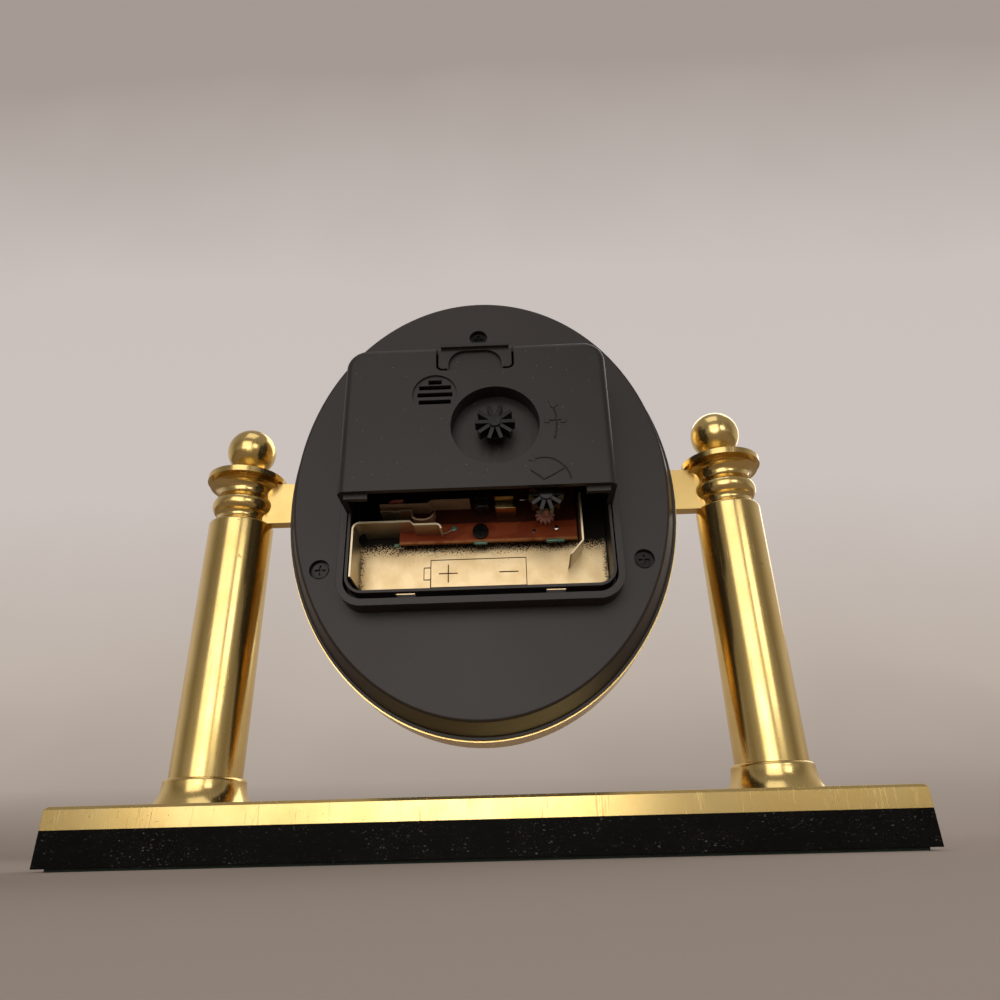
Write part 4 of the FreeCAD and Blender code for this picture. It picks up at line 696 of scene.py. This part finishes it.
signLook = {
    "top": 15.0, "rise": 0.02, "line": 0.38, "sink": 0.1, "head": 0.16,
    "handArc": ((4.02, 80.73), 12.7, 16, -18),          # middle, radius, and degrees from and to
    "alarmArc": (
        (11.5, 72.1), (12.3, 72.35), (13.1, 72.47), (13.91, 72.49), (14.7, 72.38), (15.5, 72.15),
        (16.2, 71.7), (16.85, 71.2), (17.45, 70.62), (17.98, 70.0), (18.38, 69.3), (18.68, 68.6),
        (18.91, 67.54)),
    "alarmVee": (
        ((10.98, 69.65), (12.14, 68.71), (13.47, 67.54)), ((13.47, 67.54), (15.5, 68.6), (17.56, 69.83))),
    "handBar": ((14.6, 81.1), (18.2, 81.2)),
    "heads": (
        ((15.11, 86.02), (17.23, 84.81), (16.4, 84.0), (15.75, 84.2)),
        ((10.48, 71.94), (11.75, 73.3), (12.0, 71.6)),
        ((14.2, 80.5), (15.3, 80.5), (15.3, 81.8), (14.2, 81.8)),
        ((17.6, 80.4), (18.5, 80.4), (18.9, 81.1), (18.2, 82.0), (17.6, 81.6))),
}


def makeSigns(look):
    level = look["top"] + look["rise"]
    drawn = strokes((look["alarmArc"], *look["alarmVee"], look["handBar"]), level)
    lines("coverSignLines", [arc(*look["handArc"], level), *drawn], look["line"], "movement_plastic")
    bm = bmesh.new()
    for outline in look["heads"]:
        plate(bm, outline, look["top"] - look["sink"], look["top"] + look["head"])
    finished(bm, "coverSignHeads", "movement_plastic")


makeSigns(signLook)


# Battery symbol on the bay's floor: its engraved outline drawn as thin dark brown lines

symbolLook = {
    "floor": -3.0, "rise": 0.01, "line": 0.26,
    "cell": ((-10.95, 51.8), (9.5, 51.8), (9.5, 58.0), (-10.95, 58.0), (-10.95, 51.8)),
    "cap": ((-10.95, 53.6), (-12.4, 53.6), (-12.4, 56.3), (-10.95, 56.3)),
    "plus": (((-9.2, 54.9), (-5.2, 54.9)), ((-7.2, 52.9), (-7.2, 56.9))),
    "minus": ((3.7, 54.9), (7.8, 54.9)),
}


def makeSymbol(look):
    drawn = strokes((look["cell"], look["cap"], *look["plus"], look["minus"]), look["floor"] + look["rise"])
    lines("batterySymbol", drawn, look["line"], "mark")


makeSymbol(symbolLook)


# Switch parts, solder and lacquer on the board. Blocks are given as left, right, bottom, top, how far
# they stop short of the reach, and their rounding; pegs as across, height, radius, end and rounding;
# lacquer pads as across, half their width, and height.

switchLook = {
    "board": 0.0, "sink": 0.05, "reach": 4.45, "thick": 0.34, "bladeShort": 0.3, "hookShort": 0.5,
    "blade": ((-21.1, 66.8), (-18.6, 66.8), (-18.4, 66.6), (-17.2, 66.6), (-17.0, 66.8), (-14.4, 66.85)),
    "hook": (
        (-14.5, 66.5), (-14.2, 65.2), (-13.2, 64.7), (-11.6, 64.6), (-10.4, 65.0), (-9.7, 65.9),
        (-9.6, 67.0)),
    "bobbin": ((-1.0, 2.1, 68.9, 70.2, 0.2, 0.15), (-0.9, 2.0, 66.9, 68.4, 0.0, 0.2),
               (-0.4, 1.5, 68.2, 69.1, 0.9, 0.1)),
    "bracket": ((3.3, 7.2, 66.8, 69.0, 0.55, 0.1), (3.1, 7.3, 69.0, 69.35, 0.0, 0.1),
                (3.5, 7.7, 66.4, 66.75, 0.0, 0.1)),
    "solderBar": (-18.4, -15.7, 69.2, 70.1, 0.0, 0.15), "solderDot": (16.2, 63.3, 0.55, 0.35, 0.12),
    "lacquerDot": (-5.7, 63.9, 0.62, 0.30, 0.15),
    "lacquerPads": ((-0.05, 1.5, 60.9), (15.9, 2.0, 60.95), (-18.0, 0.6, 60.9)),
    "padBelow": 0.75, "padAbove": 0.1, "padDepth": (-0.75, 0.05), "padRound": 0.3,
    "holeShades": ((11.46, 62.8, 0.42, 0.06, 0.03), (12.1, 66.4, 0.3, 0.06, 0.03)),
    "lead": 0.28, "dotLead": ((-5.9, 63.7, 0.25), (-7.2, 62.9, 0.5), (-8.4, 62.3, 0.9)),
    "topLead": ((8.6, 68.1, 4.45), (10.4, 68.15, 4.45), (11.8, 68.5, 4.05), (12.4, 68.6, -0.05)),
    "sleeve": 0.9,
    "sleevePath": ((-19.2, 68.9, 3.4), (-18.3, 69.1, 3.9), (-17.2, 68.9, 4.2), (-16.4, 69.2, 3.9)),
}


def makeSwitch(look):
    low, high = look["board"] - look["sink"], look["reach"]

    def blocks(bm, table):
        for left, right, bottom, top, short, soft in table:
            block(bm, left, right, bottom, top, low, high - short, soft)

    def pegs(bm, table):
        for across, height, radius, end, soft in table:
            peg(bm, across, height, radius, low, end, soft)

    for name, path, short, finish in (
            ("lowerBlade", look["blade"], look["bladeShort"], "contact_nickel"),
            ("switchHook", look["hook"], look["hookShort"], "lever_copper")):
        bm = bmesh.new()
        plate(bm, ribbon(path, look["thick"]), low, high - short)
        finished(bm, name, finish)
    bm = bmesh.new()
    blocks(bm, look["bobbin"])
    finished(bm, "coilBobbinFoot", "chip_resin")
    bm = bmesh.new()
    blocks(bm, look["bracket"])
    finished(bm, "brassBracket", "sounder_brass")
    bm = bmesh.new()
    blocks(bm, [look["solderBar"]])
    pegs(bm, [look["solderDot"]])
    finished(bm, "solderPads", "solder")
    leads = [[spot(*point) for point in look[path]] for path in ("topLead", "dotLead")]
    lines("wireLeads", leads, look["lead"], "solder")
    lines("redSleeve", [[spot(*point) for point in look["sleevePath"]]], look["sleeve"], "sleeve_red")
    bm = bmesh.new()
    pegs(bm, [look["lacquerDot"]])
    for across, half, height in look["lacquerPads"]:
        block(bm, across - half, across + half, height - look["padBelow"], height + look["padAbove"],
              *look["padDepth"], look["padRound"])
    finished(bm, "lacquerDrops", "mask_green")
    # painted shade: thin black discs stand in for the dark inside of two holes in the board
    bm = bmesh.new()
    pegs(bm, look["holeShades"])
    finished(bm, "boardHoleShades", "chip_resin")


makeSwitch(switchLook)


# Dial: hour numbers and minute marks printed on its front, towards -Y

dialPrint = {
    "face": -13.8, "rise": 0.03, "sink": 0.1, "middle": 74.4, "numberAcross": 27.0, "numberHigh": 36.0,
    "size": 6.6, "curveSteps": 6, "trackAcross": 33.5, "trackHigh": 42.6,
    "hourMark": (0.28, 1.5), "minuteMark": (0.11, 0.9),         # half the width, and the length
}


def makeDialPrint(look):
    front = (backPlane + look["face"]) / 1000
    bm = bmesh.new()
    for number in range(1, 13):
        letters = bpy.data.curves.new(f"number{number}", "FONT")
        letters.body = str(number)
        letters.size = look["size"] / 1000
        letters.align_x = "CENTER"
        letters.align_y = "CENTER"
        letters.extrude = look["rise"] / 1000
        letters.resolution_u = look["curveSteps"]
        mesh = meshOf(letters)
        angle = radians(90 - 30 * number)
        middle = Vector((
            look["numberAcross"] * cos(angle) / 1000, front,
            (look["middle"] + look["numberHigh"] * sin(angle)) / 1000))
        mesh.transform(Matrix.Translation(middle) @ Matrix.Rotation(pi / 2, 4, "X"))
        bm.from_mesh(mesh)
        bpy.data.meshes.remove(mesh)
    finished(bm, "dialNumbers", "print")
    bm = bmesh.new()
    for minute in range(60):
        angle = radians(6 * minute)
        half, reach = look["hourMark"] if minute % 5 == 0 else look["minuteMark"]
        end = Vector((look["trackAcross"] * cos(angle), look["trackHigh"] * sin(angle)))
        inward = Vector((-cos(angle), -sin(angle)))
        aside = Vector((-sin(angle), cos(angle))) * half
        corners = (end + aside, end - aside, end + inward * reach - aside, end + inward * reach + aside)
        outline = [(-x, look["middle"] + z) for x, z in corners]
        plate(bm, outline, look["face"] - look["rise"], look["face"] + look["sink"])
    finished(bm, "minuteMarks", "print")


makeDialPrint(dialPrint)
print("stage: pieces made")

bpy.context.scene.view_settings.view_transform = "Standard"


# Stage: floor that sweeps up into a backdrop behind the dial

stageLook = {
    "front": 1.6, "back": -0.75, "sweep": 0.35, "sweepSteps": 24, "height": 2.2, "width": 4.0,
    "table": (0.46, 0.40, 0.365), "tableShadedForBounce": (0.40, 0.335, 0.285), "glowFade": (2.0, 60.0),
    "shadeWobbleScale": 0.004, "shadeWobbleDrift": 120.0, "stopsFade": (0.0, 1500.0),
    "stops": (
        (0.0, (0.34, 0.28, 0.24)), (0.12, (0.50, 0.43, 0.375)), (0.30, (0.60, 0.54, 0.51)),
        (0.56, (0.59, 0.53, 0.50)), (0.92, (0.38, 0.325, 0.295))),
}


def makeStage(look):
    bm = bmesh.new()
    foot = look["back"] + look["sweep"]
    ends = [bm.verts.new((side * look["width"] / 2, look["front"], 0.0)) for side in (-1, 1)]
    ground = bmesh.ops.extrude_edge_only(bm, edges=[bm.edges.new(ends)])["geom"]
    bmesh.ops.translate(bm, verts=only(bmesh.types.BMVert, ground), vec=(0, foot - look["front"], 0))
    bend = bmesh.ops.spin(
        bm, geom=only(bmesh.types.BMEdge, ground), cent=(0, foot, look["sweep"]), axis=(1, 0, 0),
        angle=-pi / 2, steps=look["sweepSteps"], use_merge=False)["geom_last"]
    wall = bmesh.ops.extrude_edge_only(bm, edges=only(bmesh.types.BMEdge, bend))["geom"]
    bmesh.ops.translate(bm, verts=only(bmesh.types.BMVert, wall), vec=(0, 0, look["height"]))
    bmesh.ops.recalc_face_normals(bm, faces=bm.faces)
    mesh = bpy.data.meshes.new("sweep")
    bm.to_mesh(mesh)
    bm.free()
    mesh.shade_smooth()
    sweep = bpy.data.objects.new("sweep", mesh)
    bpy.context.collection.objects.link(sweep)
    paint, web = newPaint("paleSweep")
    rays = web.add("ShaderNodeLightPath").socket.node.outputs
    camera, glossy, clear = [
        Value(web, rays[f"Is {kind} Ray"]) for kind in ("Camera", "Glossy", "Transmission")]
    height = web.part(web.place(), 2)
    # painted shade on the backdrop: its glow is darker near the floor and towards the top, paler in
    # between, the bounds wobbling in height
    shadeWobble = web.noise(web.place(), look["shadeWobbleScale"], 2.0)
    level = web.fade(height + (shadeWobble - 0.5) * look["shadeWobbleDrift"], *look["stopsFade"])
    ramp = web.add("ShaderNodeValToRGB", {"stops": look["stops"]}, {"Fac": level}, "Color")
    # painted shade: the floor is darker to reflected and bounced rays than to the camera, darkening
    # undersides and the floor seen in reflections
    table = web.blend((camera + clear).atMost(1.0), look["tableShadedForBounce"], look["table"])
    lit = web.add("ShaderNodeBsdfDiffuse", None, {"Color": table})
    glow = web.add("ShaderNodeEmission", None, {"Color": ramp, "Strength": 1.0})
    share = (camera + glossy + clear).atMost(1.0) * web.fade(height, *look["glowFade"])
    mixed = web.add("ShaderNodeMixShader", None, {0: share, 1: lit, 2: glow})
    web.add("ShaderNodeOutputMaterial", None, {"Surface": mixed})
    mesh.materials.append(paint)


makeStage(stageLook)


# Room: pale before the camera, darker behind it, with a bright low part for the polished metal

roomLook = {
    "pale": (0.56, 0.51, 0.485), "room": (0.17, 0.145, 0.12), "bright": (0.50, 0.465, 0.42),
    "ceiling": (0.30, 0.275, 0.25), "roomFade": (-0.2, 0.4), "ceilingFade": (0.3, 0.8),
    "brightHigh": (0.42, 0.04), "brightDeep": (0.35, 0.92),
}


def makeWorld(look):
    world = bpy.data.worlds.new("room")
    bpy.context.scene.world = world
    world.use_nodes = True
    web = Web(world.node_tree)
    towards = web.add("ShaderNodeTexCoord", out="Generated")
    depth, height = web.part(towards, 1), web.part(towards, 2)
    colour = web.blend(web.fade(depth, *look["roomFade"]), look["pale"], look["room"])
    colour = web.blend(web.fade(height, *look["ceilingFade"]), colour, look["ceiling"])
    low = web.fade(height, *look["brightHigh"]) * web.fade(depth, *look["brightDeep"])
    colour = web.blend(low, colour, look["bright"])
    camera = Value(web, web.add("ShaderNodeLightPath").socket.node.outputs["Is Camera Ray"])
    colour = web.blend(camera, colour, look["pale"])
    shine = web.add("ShaderNodeBackground", None, {"Color": colour, "Strength": 1.0})
    web.add("ShaderNodeOutputWorld", None, {"Surface": shine})


makeWorld(roomLook)


# Lamps: place in metres, size in metres, power in watts, colour

lampAim = (0, 0, 0.07)
lamps = {
    "window": ((0.17, 0.95, 0.29), 0.70, 2.6, (1.0, 0.945, 0.89)),
    "secondWindow": ((-0.45, 0.85, 0.30), 0.30, 0.7, (1.0, 0.98, 0.95)),
    "skylight": ((0.05, 0.35, 1.05), 0.60, 1.0, (1.0, 0.97, 0.93)),
    "dialLamp": ((-0.30, -0.66, 0.62), 0.85, 3.6, (1.0, 0.98, 0.95)),
    "lowFill": ((0.02, 0.36, 0.045), 0.15, 0.085, (1.0, 0.94, 0.86)),
}


def makeLamps(table):
    for name, (where, size, power, colour) in table.items():
        light = bpy.data.lights.new(name, "AREA")
        light.shape = "SQUARE"
        light.size = size
        light.energy = power
        light.color = colour
        lamp = bpy.data.objects.new(name, light)
        bpy.context.collection.objects.link(lamp)
        lamp.location = where
        lamp.visible_camera = False
        lamp.rotation_euler = (Vector(lampAim) - Vector(where)).to_track_quat("-Z", "Y").to_euler()


makeLamps(lamps)



# Camera, as solved from the photograph: lengths of the lens in millimetres, the rest in metres

viewerLook = {
    "lens": 25.92, "sensor": 36.0, "near": 0.002, "far": 20.0, "place": (-0.00756, 0.15219, 0.00273),
    "right": (-0.99916, -0.03380, -0.02301), "up": (-0.03529, 0.42889, 0.90267),
    "ahead": (0.02064, -0.90272, 0.42972),
}


def makeCamera(look):
    lens = bpy.data.cameras.new("viewer")
    lens.lens = look["lens"]
    lens.sensor_width = look["sensor"]
    lens.clip_start = look["near"]
    lens.clip_end = look["far"]
    camera = bpy.data.objects.new("viewer", lens)
    bpy.context.collection.objects.link(camera)
    turn = Matrix((look["right"], look["up"], -Vector(look["ahead"]))).transposed().to_4x4()
    camera.matrix_world = Matrix.Translation(look["place"]) @ turn
    bpy.context.scene.camera = camera


makeCamera(viewerLook)
print("stage: floor, lamps and camera")
